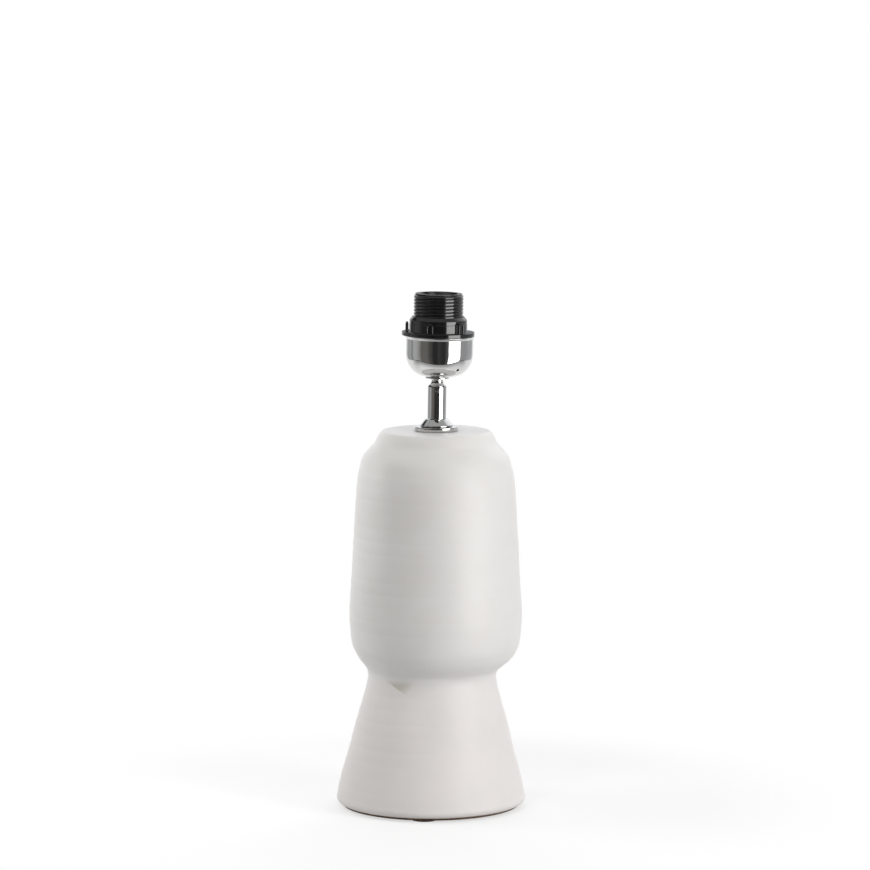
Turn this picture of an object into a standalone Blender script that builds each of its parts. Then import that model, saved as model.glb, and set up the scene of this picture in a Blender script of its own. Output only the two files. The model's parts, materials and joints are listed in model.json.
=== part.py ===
"""Table lamp base: thrown ceramic body, chrome stem and cup, black E27 lampholder with a shade ring.

Metres, +Z up. The origin is on the table under the centre of the foot. The front is -Y.
The stem leans a little, as on the real lamp: one straight pipe runs from the centre of the
foot to the centre of the top disc, and everything threaded on it shares its axis.
"""
import math

import bmesh
import bpy
from mathutils import Matrix, Vector

# General fits
SEAT_GAP = 0.0003            # between two faces that rest on each other
THREAD_GAP = 0.0003          # radial gap between a threaded rod and what screws on it
OVERRUN = 0.002              # how far a cutter runs past what it cuts
WELD_DISTANCE = 0.0000002    # merges points that coincide
SMOOTH_ANGLE = 32.0          # degrees, sharper edges stay sharp

# Ceramic body
FOOT_RADIUS = 0.0775
FOOT_RIM_HEIGHT = 0.0084     # height of the widest line of the foot
FOOT_EDGE_RADIUS = 0.0045
WAIST_RADIUS = 0.053
WAIST_HEIGHT = 0.1090
BELLY_RADIUS = 0.0710
BELLY_HEIGHT = 0.1590
TOP_RADIUS = 0.0446
CERAMIC_TOP = 0.3115
WALL = 0.0065
TOP_THICKNESS = 0.0070
FOOT_WALL = 0.0100           # round the rebate under the foot that takes the plate
LEDGE_HEIGHT = 0.0200        # height of the ledge inside the foot that the plate pulls against
LEDGE_WIDTH = 0.0055
BODY_OFFSET = 0.0041         # the upper body sits this far to the right of the foot
CONE_OFFSET = 0.0010         # of which this much has come at the waist
OFFSET_RUN_SHARE = 0.35      # share of the rise from waist to belly in which it comes
TOP_HOLE_RADIUS = 0.0064
# Outline of the body as shares of its heights (from below up) and of its radii
SHOULDER_SHARES = [(0.20, 0.060), (0.42, 0.128), (0.63, 0.205), (0.75, 0.270), (0.815, 0.345),
                   (0.865, 0.445), (0.91, 0.660), (0.935, 0.785), (0.968, 0.890), (1.0, 1.0)]
HIP_SHARES = [(0.20, 0.028), (0.38, 0.072), (0.52, 0.160), (0.63, 0.305), (0.73, 0.500), (0.82, 0.745),
              (0.90, 0.940), (1.0, 1.0)]
CONE_SHARES = [(0.07, 0.035), (0.18, 0.145), (0.38, 0.370), (0.60, 0.600), (0.82, 0.850), (1.0, 1.0)]

# Pad, feet and plate under the ceramic
PAD_INSET = 0.0047           # from the foot's widest line to the pad's edge
PAD_THICKNESS = 0.0014
RUBBER_FOOT_RADIUS = 0.0110
RUBBER_FOOT_THICKNESS = 0.0012
RUBBER_FOOT_INSET = 0.0128   # from the pad's edge to the rubber feet's centres
RUBBER_FOOT_NAMES = ("front", "right", "left")
RUBBER_FOOT_TURN = -5.0      # degrees, the front one is a little left of the middle
PLATE_THICKNESS = 0.0015
PLATE_BORE_RADIUS = 0.0060
PLATE_FIT = 0.0006
WASHER_RADIUS = 0.0110
WASHER_THICKNESS = 0.0012
LOCK_WASHER_RADIUS = 0.0085
LOCK_WASHER_THICKNESS = 0.0008
LOCK_TEETH = 8
LOCK_TOOTH_DEPTH = 0.0012
NUT_ACROSS_FLATS = 0.0140
NUT_THICKNESS = 0.0030
NUT_CHAMFER = 0.0005

# Lead outlet at the back of the foot
OUTLET_HEIGHT = 0.0112
OUTLET_RADIUS = 0.0045
GROMMET_BORE_RADIUS = 0.0035
GROMMET_FLANGE_RADIUS = 0.0062
GROMMET_FLANGE_THICKNESS = 0.0014
GROMMET_INSET = 0.0003       # its outer face stays this far inside the foot's widest line

# Threaded pipe
PIPE_RADIUS = 0.00495
PIPE_BORE_RADIUS = 0.0035
PIPE_BELOW_NUT = 0.0022
STEM_LEAN = 0.97             # degrees, to the right
STEM_OFFSET = 0.0046         # where the stem's axis meets the ceramic's top plane

# Chrome stack on the ceramic
DISC_RADIUS = 0.0180
DISC_THICKNESS = 0.0033
DISC_EDGE_RADIUS = 0.0011
DISC_RECESS_RADIUS = 0.0140
DISC_RECESS_DEPTH = 0.0015
DOME_RADIUS = 0.0133
DOME_TOP_RADIUS = 0.0092
DOME_HEIGHT = 0.0058
DOME_BRIM_HEIGHT = 0.0009
DOME_EDGE_RADIUS = 0.0008
TUBE_RADIUS = 0.0076
TUBE_LENGTH = 0.0250         # from the dome to the start of the shoulder
SHOULDER_HEIGHT = 0.0028
NECK_RADIUS = 0.0048
NECK_LENGTH = 0.0052         # from the shoulder to the boss
SLOPE_SHARE = 0.70           # of the shoulder below the slope's foot, and of the neck above its head
BOSS_RADIUS = 0.0098
BOSS_THICKNESS = 0.0013
BOSS_EDGE_RADIUS = 0.0005
STUB_RADIUS = 0.00495
STUB_LENGTH = 0.0152
WIRE_BORE_RADIUS = 0.0030
GRUB_RADIUS = 0.0019
GRUB_GAP = 0.0002
GRUB_BELOW_SHOULDER = 0.0021
GRUB_SINK = 0.0003
GRUB_SLOT_WIDTH = 0.0006
GRUB_SLOT_DEPTH = 0.0007
GRUB_SLOT_TURN = 20.0        # degrees from upright

# Chrome cup
CUP_RADIUS = 0.0275
CUP_HEIGHT = 0.0334
CUP_BOWL_HEIGHT = 0.0205
CUP_FLAT_RADIUS = 0.0092
CUP_FULLNESS = 2.15          # exponent of the bowl's curve, 2 is an ellipse
CUP_WALL = 0.0007
CUP_RIM_HEIGHT = 0.0023
CUP_RIM_FLARE = 0.0008          # the rim opens this much wider than the cup
CUP_RIM_EDGE = 0.0003
CUP_HOLE_RADIUS = 0.0068
CUP_OFFSET = 0.0014          # the cup sits this far to the right in its clearance hole
CUP_VENT_RADIUS = 0.0020
CUP_VENT_HEIGHT = 0.0072
CUP_VENT_REACH = 0.0232
CUP_VENT_TURN = 40.0         # degrees to the right of the front

# Clamp inside the cup
CUP_WASHER_RADIUS = 0.0088
CUP_WASHER_THICKNESS = 0.0008
TAG_RADIUS = 0.0080
TAG_THICKNESS = 0.0008
TAG_LENGTH = 0.0140
TAG_WIDTH = 0.0048
TAG_HOLE_RADIUS = 0.0009
TAG_TURN = 120.0             # degrees

# Lampholder cap
INSERT_RADIUS = 0.0072
INSERT_HEIGHT = 0.0080
INSERT_GROOVE = 0.0006
GROOVE_SHARE = 0.35          # of the insert's height
CAP_RADIUS = 0.0213
CAP_WALL = 0.0020
CAP_BASE_RADIUS = 0.0100
CAP_DOME_HEIGHT = 0.0100
CAP_HEIGHT = 0.0236
CAP_FLOOR = 0.0022
CAP_BOSS_WALL = 0.0022
CAP_GRUB_RADIUS = 0.0014
CAP_GRUB_HEIGHT = 0.0052
CAP_GRUB_TURN = 200.0        # degrees

# Lampholder skirt
SKIRT_THREAD_RADIUS = 0.0202
SKIRT_THREAD_DEPTH = 0.0009
SKIRT_THREAD_PITCH = 0.00275
SKIRT_THREAD_LENGTH = 0.0340
RUN_OUT_SHARE = 0.40         # of the pitch, over which each thread dies out at its ends
SKIRT_RIM_HEIGHT = 0.0006
SKIRT_SHOULDER_RADIUS = 0.0226
SKIRT_SHOULDER_HEIGHT = 0.0030
SKIRT_SPIGOT_LENGTH = 0.0095
SKIRT_SPIGOT_WALL = 0.0022
CAP_SCREW_GAP = 0.0003
LAMP_THREAD_RADIUS = 0.0135  # E27: major radius of the inner thread
LAMP_THREAD_DEPTH = 0.00125
LAMP_THREAD_PITCH = 0.003629
LAMP_THREAD_LENGTH = 0.0190
LAMP_MOUTH_HEIGHT = 0.0030
LAMP_MOUTH_FLARE = 0.0008
CHAMBER_RADIUS = 0.0148      # of the space round the contacts

# Contact insert
BLOCK_HEIGHT = 0.0130
BLOCK_TOP_DROP = 0.0335      # from the rim of the socket to the top of the block
TERMINAL_SIZE = (0.0060, 0.0070, 0.0055)
TERMINAL_OFFSET = 0.0085
TERMINAL_RECESS = 0.0018      # how far the terminals are let into the block
PIN_RADIUS = 0.0012
HEAD_WIDTH = 0.0040
HEAD_THICKNESS = 0.0006
NEUTRAL_HEAD_REACH = 0.0038
TERMINAL_SCREW_RADIUS = 0.0013
TERMINAL_SCREW_LENGTH = 0.0040
TERMINAL_HEAD_RADIUS = 0.0021
TERMINAL_HEAD_HEIGHT = 0.0014
LEAF_THICKNESS = 0.0005
CENTRE_LEAF_WIDTH = 0.0060
CENTRE_LEAF_RISE = 0.0042
CENTRE_LEAF_SHARES = [(0.0, 0.0), (0.15, 0.06), (0.38, 0.32), (0.75, 0.85), (0.92, 0.99), (1.08, 0.99),
                      (1.25, 0.85)]
LEAF_GAP = 0.0003            # between a leaf and the terminal head it springs from
SIDE_LEAF_WIDTH = 0.0050
SIDE_LEAF_HEIGHT = 0.0100
SIDE_LEAF_BOW = 0.0012
SIDE_LEAF_SHARES = [(0.0, 0.0), (0.0, 0.30), (0.45, 0.50), (1.0, 0.75), (0.9, 0.88), (0.3, 1.0)]

# Shade ring
RING_GAP = 0.0003            # radial, over the crests of the skirt's thread
RING_LIFT = 0.0003           # over the skirt's shoulder when screwed right down
RING_FLANGE_RADIUS = 0.0298
RING_FLANGE_THICKNESS = 0.0030
RING_FLANGE_EDGE = 0.0004
RING_COLLAR_RADIUS = 0.0237
RING_COLLAR_HEIGHT = 0.0099
RING_COLLAR_EDGE = 0.0005
RING_CONE_HEIGHT = 0.0026
RING_TOP_WIDTH = 0.0010       # the flat land round the bore, on top of the cone
LUG_COUNT = 5
LUG_STEP = 60.0              # degrees from one lug to the next
LUG_TURN = 165.0             # degrees from the front to the first lug
LUG_RADIUS = 0.0264
LUG_THICKNESS = 0.0012
LUG_WIDTH = 0.0056
LUG_LEG_WIDTH = 0.0013
LUG_HEIGHT = 0.0088
LUG_SINK = 0.0004            # how far a lug's legs are let into the flange

# Places that follow from the sizes above
PAD_BOTTOM = RUBBER_FOOT_THICKNESS + SEAT_GAP
FOOT_HEIGHT = PAD_BOTTOM + PAD_THICKNESS + SEAT_GAP
REBATE_RADIUS = FOOT_RADIUS - FOOT_WALL
LEDGE_RADIUS = REBATE_RADIUS - LEDGE_WIDTH
PAD_RADIUS = FOOT_RADIUS - PAD_INSET
RUBBER_FOOT_CIRCLE = PAD_RADIUS - RUBBER_FOOT_INSET
GROMMET_REACH = FOOT_RADIUS - GROMMET_INSET
PLATE_TOP = LEDGE_HEIGHT - SEAT_GAP
PLATE_BOTTOM = PLATE_TOP - PLATE_THICKNESS
WASHER_TOP = PLATE_BOTTOM - SEAT_GAP
LOCK_WASHER_TOP = WASHER_TOP - WASHER_THICKNESS - SEAT_GAP
NUT_TOP = LOCK_WASHER_TOP - LOCK_WASHER_THICKNESS - SEAT_GAP
PIPE_BOTTOM = NUT_TOP - NUT_THICKNESS - PIPE_BELOW_NUT
CLAMP_OFFSET = STEM_OFFSET - (CERAMIC_TOP - NUT_TOP) * math.tan(math.radians(STEM_LEAN))

# Heights on the stem are measured along it from the ceramic's top plane
DISC_BOTTOM = SEAT_GAP
DISC_TOP = DISC_BOTTOM + DISC_THICKNESS
DOME_BOTTOM = DISC_TOP + SEAT_GAP
DOME_TOP = DOME_BOTTOM + DOME_HEIGHT
TUBE_BOTTOM = DOME_TOP + SEAT_GAP
TUBE_SHOULDER = TUBE_BOTTOM + TUBE_LENGTH
NECK_BOTTOM = TUBE_SHOULDER + SHOULDER_HEIGHT
BOSS_BOTTOM = NECK_BOTTOM + NECK_LENGTH
BOSS_TOP = BOSS_BOTTOM + BOSS_THICKNESS
STUB_TOP = BOSS_TOP + STUB_LENGTH
PIPE_TOP = TUBE_SHOULDER
PIPE_BORE_TOP = PIPE_TOP + SEAT_GAP
CUP_BOTTOM = BOSS_TOP + SEAT_GAP
CUP_TOP = CUP_BOTTOM + CUP_HEIGHT
CUP_WASHER_BOTTOM = CUP_BOTTOM + CUP_WALL + SEAT_GAP
TAG_BOTTOM = CUP_WASHER_BOTTOM + CUP_WASHER_THICKNESS + SEAT_GAP
CUP_NUT_BOTTOM = TAG_BOTTOM + TAG_THICKNESS + SEAT_GAP
CAP_BOTTOM = CUP_NUT_BOTTOM + NUT_THICKNESS + SEAT_GAP
CAP_TOP = CAP_BOTTOM + CAP_HEIGHT
INSERT_BOTTOM = CAP_BOTTOM
SHOULDER_BOTTOM = CAP_TOP + SEAT_GAP
SHOULDER_TOP = SHOULDER_BOTTOM + SKIRT_SHOULDER_HEIGHT
SKIRT_BOTTOM = SHOULDER_BOTTOM - SKIRT_SPIGOT_LENGTH
SKIRT_TOP = SHOULDER_TOP + SKIRT_THREAD_LENGTH + SKIRT_RIM_HEIGHT
BLOCK_TOP = SKIRT_TOP - BLOCK_TOP_DROP
BLOCK_BOTTOM = BLOCK_TOP - BLOCK_HEIGHT
RING_BOTTOM = SHOULDER_TOP + RING_LIFT
RING_FLANGE_TOP = RING_BOTTOM + RING_FLANGE_THICKNESS
SPIGOT_RADIUS = CAP_RADIUS - CAP_WALL - CAP_SCREW_GAP
SPIGOT_BORE_RADIUS = SPIGOT_RADIUS - SKIRT_SPIGOT_WALL
BORE_RADIUS = PIPE_RADIUS + THREAD_GAP
PIVOT_HEIGHT = BLOCK_TOP + SEAT_GAP + LEAF_THICKNESS / 2.0
CENTRE_PIVOT_OFFSET = TERMINAL_OFFSET - HEAD_WIDTH / 2.0 - LEAF_GAP
SIDE_LEAF_OFFSET = TERMINAL_OFFSET + NEUTRAL_HEAD_REACH + LEAF_GAP + LEAF_THICKNESS / 2.0

# Facets round a full turn
FACETS_BODY = 44
FACETS_WIDE = 36
FACETS_THREAD = 28
FACETS_MEDIUM = 24
FACETS_NUT = 24              # a multiple of six, so that the corners are sharp
FACETS_SMALL = 20
FACETS_TINY = 12
ROWS_PER_TURN = 2            # rows of points along a thread: one in the root, one on the crest


def clear_scene():
    for obj in list(bpy.data.objects):
        bpy.data.objects.remove(obj, do_unlink=True)


def make_material(name, colour, roughness, metallic=0.0):
    mat = bpy.data.materials.new(name)
    mat.use_nodes = True
    shader = mat.node_tree.nodes["Principled BSDF"]
    shader.inputs["Base Color"].default_value = (*colour, 1.0)
    shader.inputs["Roughness"].default_value = roughness
    shader.inputs["Metallic"].default_value = metallic
    mat.diffuse_color = (*colour, 1.0)
    return mat


def add_object(name, bm, mat, parent=None, location=(0, 0, 0)):
    """Turn a bmesh into a named, smooth-shaded object."""
    bmesh.ops.recalc_face_normals(bm, faces=bm.faces)
    mesh = bpy.data.meshes.new(name)
    bm.to_mesh(mesh)
    bm.free()
    mesh.materials.append(mat)
    mesh.shade_smooth()
    mesh.set_sharp_from_angle(angle=math.radians(SMOOTH_ANGLE))
    obj = bpy.data.objects.new(name, mesh)
    bpy.context.scene.collection.objects.link(obj)
    obj.location = location
    if parent is not None:
        obj.parent = parent
    return obj


def add_empty(name, location, lean=0.0):
    empty = bpy.data.objects.new(name, None)
    empty.location = location
    empty.rotation_euler = (0.0, math.radians(lean), 0.0)
    bpy.context.scene.collection.objects.link(empty)
    return empty


def boolean(target, cutter_bm, operation="DIFFERENCE"):
    """Join a bmesh to an object or cut it out, and apply the result."""
    bmesh.ops.recalc_face_normals(cutter_bm, faces=cutter_bm.faces)
    mesh = bpy.data.meshes.new("tool")
    cutter_bm.to_mesh(mesh)
    cutter_bm.free()
    tool = bpy.data.objects.new("tool", mesh)
    bpy.context.scene.collection.objects.link(tool)
    tool.hide_render = True
    tool.display_type = "WIRE"
    tool.parent = target.parent
    tool.matrix_basis = target.matrix_basis
    modifier = target.modifiers.new("shape", "BOOLEAN")
    modifier.operation = operation
    modifier.solver = "EXACT"
    modifier.object = tool
    bpy.context.view_layer.update()
    graph = bpy.context.evaluated_depsgraph_get()
    result = bpy.data.meshes.new_from_object(target.evaluated_get(graph))
    target.modifiers.remove(modifier)
    old = target.data
    result.name = old.name
    target.data = result
    bpy.data.meshes.remove(old)
    bpy.data.objects.remove(tool, do_unlink=True)
    result.shade_smooth()
    result.set_sharp_from_angle(angle=math.radians(SMOOTH_ANGLE))


def rounded(corners, steps=3):
    """Outline through corners (r, z, fillet): each fillet becomes an arc of a few points."""
    points = []
    count = len(corners)
    for i, (r, z, fillet) in enumerate(corners):
        here = Vector((r, z))
        if fillet <= 0.0:
            points.append((r, z))
            continue
        before = Vector(corners[i - 1][:2]) - here
        after = Vector(corners[(i + 1) % count][:2]) - here
        half = before.angle(after) / 2.0
        reach = min(fillet / math.tan(half), before.length / 2.0, after.length / 2.0)
        radius = reach * math.tan(half)
        centre = here + (before.normalized() + after.normalized()).normalized() * (radius / math.sin(half))
        start = here + before.normalized() * reach - centre
        end = here + after.normalized() * reach - centre
        turn = start.angle_signed(end)
        for k in range(steps + 1):
            arm = Matrix.Rotation(-turn * k / steps, 2) @ start
            points.append((centre.x + arm.x, centre.y + arm.y))
    return points


def offset_inwards(points, distance):
    """Points moved to the left of the way the outline runs (towards the axis, on the way down)."""
    moved = []
    for i, point in enumerate(points):
        before = Vector(points[max(i - 1, 0)])
        after = Vector(points[min(i + 1, len(points) - 1)])
        along = (after - before).normalized()
        moved.append((point[0] + along.y * distance, point[1] - along.x * distance))
    return moved


def add_ring(bm, radius, height, facets):
    if radius <= 0.0:
        return [bm.verts.new((0.0, 0.0, height))]
    angles = [2.0 * math.pi * k / facets for k in range(facets)]
    return [bm.verts.new((radius * math.cos(a), radius * math.sin(a), height)) for a in angles]


def bridge(bm, low, high):
    """Faces between two rings, either of which may be a single point."""
    count = max(len(low), len(high))
    for k in range(count):
        n = (k + 1) % count
        quad = [low[k % len(low)], low[n % len(low)], high[n % len(high)], high[k % len(high)]]
        corners = []
        for vert in quad:
            if vert not in corners:
                corners.append(vert)
        if len(corners) > 2:
            bm.faces.new(corners)


def turned(outline, facets):
    """A closed body turned from a closed outline of (r, z) points."""
    bm = bmesh.new()
    rings = [add_ring(bm, r, z, facets) for r, z in outline]
    return join_rings(bm, rings, True)


def washer_outline(inner, outer, bottom, thickness):
    top = bottom + thickness
    return [(inner, bottom), (outer, bottom), (outer, top), (inner, top)]


def cylinder(radius, start, end, facets):
    """A closed cylinder between two points."""
    start, end = Vector(start), Vector(end)
    bm = bmesh.new()
    axis = end - start
    turn = axis.to_track_quat("Z", "Y").to_matrix().to_4x4()
    bmesh.ops.create_cone(bm, cap_ends=True, segments=facets, radius1=radius, radius2=radius,
                          depth=axis.length, matrix=Matrix.Translation((start + end) / 2.0) @ turn)
    return bm


def box(low, high):
    low, high = Vector(low), Vector(high)
    bm = bmesh.new()
    bmesh.ops.create_cube(bm, size=1.0, matrix=Matrix.Translation((low + high) / 2.0)
                          @ Matrix.Diagonal((*(high - low), 1.0)))
    return bm


def turn_about_z(bm, degrees):
    turn = Matrix.Rotation(math.radians(degrees), 3, "Z")
    bmesh.ops.rotate(bm, verts=bm.verts, cent=(0, 0, 0), matrix=turn)
    return bm


def helical_thread(bm, crest, root, low, high, pitch, facets):
    """Skin of a helical thread between two heights. Returns its plain lowest and highest rings."""
    turns = int(math.ceil((high - low) / pitch)) + 1
    rows = turns * ROWS_PER_TURN

    def radius_at(angle, height):
        phase = (height - low) / pitch - angle / (2.0 * math.pi)
        wave = 0.5 - 0.5 * math.cos(2.0 * math.pi * phase)
        run_out = min(height - low, high - height) / (pitch * RUN_OUT_SHARE)
        return root + (crest - root) * wave * min(max(run_out, 0.0), 1.0)

    grid = []
    for row in range(rows + ROWS_PER_TURN + 1):
        ring = []
        for k in range(facets):
            angle = 2.0 * math.pi * k / facets
            height = low + pitch * (row / ROWS_PER_TURN - 1.0 + k / facets)
            height = min(max(height, low), high)
            r = radius_at(angle, height)
            ring.append(bm.verts.new((r * math.cos(angle), r * math.sin(angle), height)))
        grid.append(ring)

    def vert(row, k):
        if k < facets:
            return grid[row][k]
        return grid[row + ROWS_PER_TURN][0]

    for row in range(rows):
        for k in range(facets):
            bm.faces.new([vert(row, k), vert(row, k + 1), vert(row + 1, k + 1), vert(row + 1, k)])
    return grid[0], grid[rows]


def join_rings(bm, rings, closed=False):
    """Skin between each ring and the next."""
    for low, high in zip(rings, rings[1:] + rings[:closed]):
        bridge(bm, low, high)
    return bm


def hex_radius(angle, across_flats):
    side = math.radians(60.0)
    return across_flats / 2.0 / math.cos(angle % side - side / 2.0)


def hex_nut(across_flats, bore, bottom, thickness, chamfer):
    """Hexagon nut, its corners chamfered on both faces."""
    bm = bmesh.new()
    flat_radius = across_flats / 2.0 + chamfer / 3.0
    levels = [(flat_radius, bottom), (None, bottom + chamfer),
              (None, bottom + thickness - chamfer), (flat_radius, bottom + thickness)]
    rings = [add_ring(bm, bore, bottom, FACETS_NUT)]
    for limit, height in levels:
        ring = []
        for k in range(FACETS_NUT):
            angle = 2.0 * math.pi * k / FACETS_NUT
            r = hex_radius(angle, across_flats)
            r = r if limit is None else min(r, limit)
            ring.append(bm.verts.new((r * math.cos(angle), r * math.sin(angle), height)))
        rings.append(ring)
    rings.append(add_ring(bm, bore, bottom + thickness, FACETS_NUT))
    return join_rings(bm, rings, True)


def star_washer(inner, outer, tooth_depth, teeth, bottom, thickness):
    """Lock washer with teeth round its rim."""
    bm = bmesh.new()
    facets = teeth * 4

    def toothed(height):
        ring = []
        for k in range(facets):
            r = outer if k % 4 < 2 else outer - tooth_depth
            angle = 2.0 * math.pi * k / facets
            ring.append(bm.verts.new((r * math.cos(angle), r * math.sin(angle), height)))
        return ring

    rings = [add_ring(bm, inner, bottom, facets), toothed(bottom),
             toothed(bottom + thickness), add_ring(bm, inner, bottom + thickness, facets)]
    return join_rings(bm, rings, True)


def swept_strip(centre_line, width, thickness):
    """A leaf spring: a centre line of (x, z) points given a thickness and a width along Y."""
    left = offset_inwards(centre_line, thickness / 2.0)
    right = offset_inwards(centre_line, -thickness / 2.0)
    outline = left + right[::-1]
    bm = bmesh.new()
    face = bm.faces.new([bm.verts.new((x, -width / 2.0, z)) for x, z in outline])
    side = bmesh.ops.extrude_face_region(bm, geom=[face])["geom"]
    verts = [item for item in side if isinstance(item, bmesh.types.BMVert)]
    bmesh.ops.translate(bm, verts=verts, vec=(0.0, width, 0.0))
    bmesh.ops.triangulate(bm, faces=[f for f in bm.faces if len(f.verts) > 4])
    return bm


# Ceramic body

def body_outline():
    """Outer outline of the ceramic from the foot's rim up to the top disc."""
    def between(shares, low, high, height, span):
        return [(low + (high - low) * r, height + span * h) for h, r in shares]

    cone = between(CONE_SHARES, WAIST_RADIUS, FOOT_RADIUS, WAIST_HEIGHT, FOOT_RIM_HEIGHT - WAIST_HEIGHT)
    hip = between(HIP_SHARES, BELLY_RADIUS, WAIST_RADIUS, BELLY_HEIGHT, WAIST_HEIGHT - BELLY_HEIGHT)
    top = between(SHOULDER_SHARES, BELLY_RADIUS, TOP_RADIUS, BELLY_HEIGHT, CERAMIC_TOP - BELLY_HEIGHT)
    return cone[::-1] + hip[::-1] + [(BELLY_RADIUS, BELLY_HEIGHT)] + top


def axis_offset(height):
    """How far the thrown body has drifted to the right at a height."""
    def ease(share):
        share = min(max(share, 0.0), 1.0)
        return share * share * (3.0 - 2.0 * share)

    drift = CONE_OFFSET * ease(height / WAIST_HEIGHT)
    run = (BELLY_HEIGHT - WAIST_HEIGHT) * OFFSET_RUN_SHARE
    return drift + (BODY_OFFSET - CONE_OFFSET) * ease((height - WAIST_HEIGHT) / run)


def make_ceramic_body(mat):
    outer = body_outline()
    edge_centre = (outer[0][0] - FOOT_EDGE_RADIUS, FOOT_HEIGHT + FOOT_EDGE_RADIUS)
    steps = 3
    for k in range(1, steps + 1):
        angle = math.pi / 2.0 * k / steps
        outer.insert(0, (edge_centre[0] + FOOT_EDGE_RADIUS * math.cos(angle),
                         edge_centre[1] - FOOT_EDGE_RADIUS * math.sin(angle)))
    ceiling = CERAMIC_TOP - TOP_THICKNESS
    hollow = [(min(r, LEDGE_RADIUS), z) for r, z in offset_inwards(body_outline(), -WALL)]
    hollow = [(r, z) for r, z in hollow if LEDGE_HEIGHT + WALL < z < ceiling - WALL / 2.0]
    hollow = hollow[:-1:2] + [hollow[-1]]
    ceiling_radius = hollow[-1][0] - WALL
    inner = [(TOP_HOLE_RADIUS, CERAMIC_TOP), (TOP_HOLE_RADIUS, ceiling), (ceiling_radius, ceiling)]
    inner += hollow[::-1]
    inner += [(LEDGE_RADIUS, LEDGE_HEIGHT), (REBATE_RADIUS, LEDGE_HEIGHT), (REBATE_RADIUS, FOOT_HEIGHT)]
    bm = turned(outer + inner, FACETS_BODY)
    for vert in bm.verts:
        vert.co.x += axis_offset(vert.co.z)
    body = add_object("ceramic_body", bm, mat)
    hole = cylinder(OUTLET_RADIUS, (0.0, LEDGE_RADIUS - OVERRUN, OUTLET_HEIGHT),
                    (0.0, FOOT_RADIUS + OVERRUN, OUTLET_HEIGHT), FACETS_SMALL)
    boolean(body, hole)
    recess_floor = GROMMET_REACH - GROMMET_FLANGE_THICKNESS - SEAT_GAP
    recess = cylinder(GROMMET_FLANGE_RADIUS + SEAT_GAP, (0.0, recess_floor, OUTLET_HEIGHT),
                      (0.0, FOOT_RADIUS + OVERRUN, OUTLET_HEIGHT), FACETS_SMALL)
    boolean(body, recess)
    return body


# Under the ceramic

def make_foot_parts(cork, rubber, zinc):
    add_object("base_pad", turned(rounded([
        (0.0, PAD_BOTTOM, 0.0), (PAD_RADIUS, PAD_BOTTOM, PAD_THICKNESS / 3.0),
        (PAD_RADIUS, PAD_BOTTOM + PAD_THICKNESS, PAD_THICKNESS / 3.0),
        (0.0, PAD_BOTTOM + PAD_THICKNESS, 0.0)], 1), FACETS_BODY), cork)

    for k, place in enumerate(RUBBER_FOOT_NAMES):
        turn = math.radians(RUBBER_FOOT_TURN + 360.0 * k / len(RUBBER_FOOT_NAMES))
        edge = RUBBER_FOOT_THICKNESS / 3.0
        disc = turned(rounded([
            (0.0, 0.0, 0.0), (RUBBER_FOOT_RADIUS, 0.0, edge),
            (RUBBER_FOOT_RADIUS, RUBBER_FOOT_THICKNESS, edge), (0.0, RUBBER_FOOT_THICKNESS, 0.0)], 1),
            FACETS_SMALL)
        at = (RUBBER_FOOT_CIRCLE * math.sin(turn), -RUBBER_FOOT_CIRCLE * math.cos(turn), 0.0)
        add_object("rubber_foot_" + place, disc, rubber, location=at)

    plate_radius = REBATE_RADIUS - PLATE_FIT
    plate = turned(washer_outline(
        PLATE_BORE_RADIUS, plate_radius, PLATE_BOTTOM, PLATE_THICKNESS), FACETS_WIDE)
    for vert in plate.verts:
        if vert.co.xy.length < REBATE_RADIUS / 2.0:
            vert.co.x += CLAMP_OFFSET
    add_object("base_plate", plate, zinc)

    clamp = add_empty("clamp_axis", (CLAMP_OFFSET, 0.0, 0.0))
    add_object("plate_washer", turned(washer_outline(
        BORE_RADIUS, WASHER_RADIUS, WASHER_TOP - WASHER_THICKNESS, WASHER_THICKNESS), FACETS_SMALL),
        zinc, clamp)
    add_object("plate_lock_washer", star_washer(
        BORE_RADIUS, LOCK_WASHER_RADIUS, LOCK_TOOTH_DEPTH, LOCK_TEETH,
        LOCK_WASHER_TOP - LOCK_WASHER_THICKNESS, LOCK_WASHER_THICKNESS), zinc, clamp)
    add_object("plate_nut", hex_nut(
        NUT_ACROSS_FLATS, BORE_RADIUS, NUT_TOP - NUT_THICKNESS, NUT_THICKNESS, NUT_CHAMFER), zinc, clamp)


def make_cable_grommet(rubber):
    """Flanged bush in the back of the foot, turned about the Y axis."""
    face = GROMMET_REACH
    under = face - GROMMET_FLANGE_THICKNESS
    sleeve = OUTLET_RADIUS - SEAT_GAP
    outline = rounded([
        (GROMMET_BORE_RADIUS, REBATE_RADIUS, 0.0), (sleeve, REBATE_RADIUS, 0.0), (sleeve, under, 0.0),
        (GROMMET_FLANGE_RADIUS, under, 0.0),
        (GROMMET_FLANGE_RADIUS, face, GROMMET_FLANGE_THICKNESS / 2.0),
        (GROMMET_BORE_RADIUS, face, GROMMET_FLANGE_THICKNESS / 3.0)], 2)
    grommet = add_object("cable_grommet", turned(outline, FACETS_SMALL), rubber,
                         location=(0.0, 0.0, OUTLET_HEIGHT))
    grommet.rotation_euler = (math.radians(-90.0), 0.0, 0.0)


# Chrome disc and dome, level on the ceramic

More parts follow.
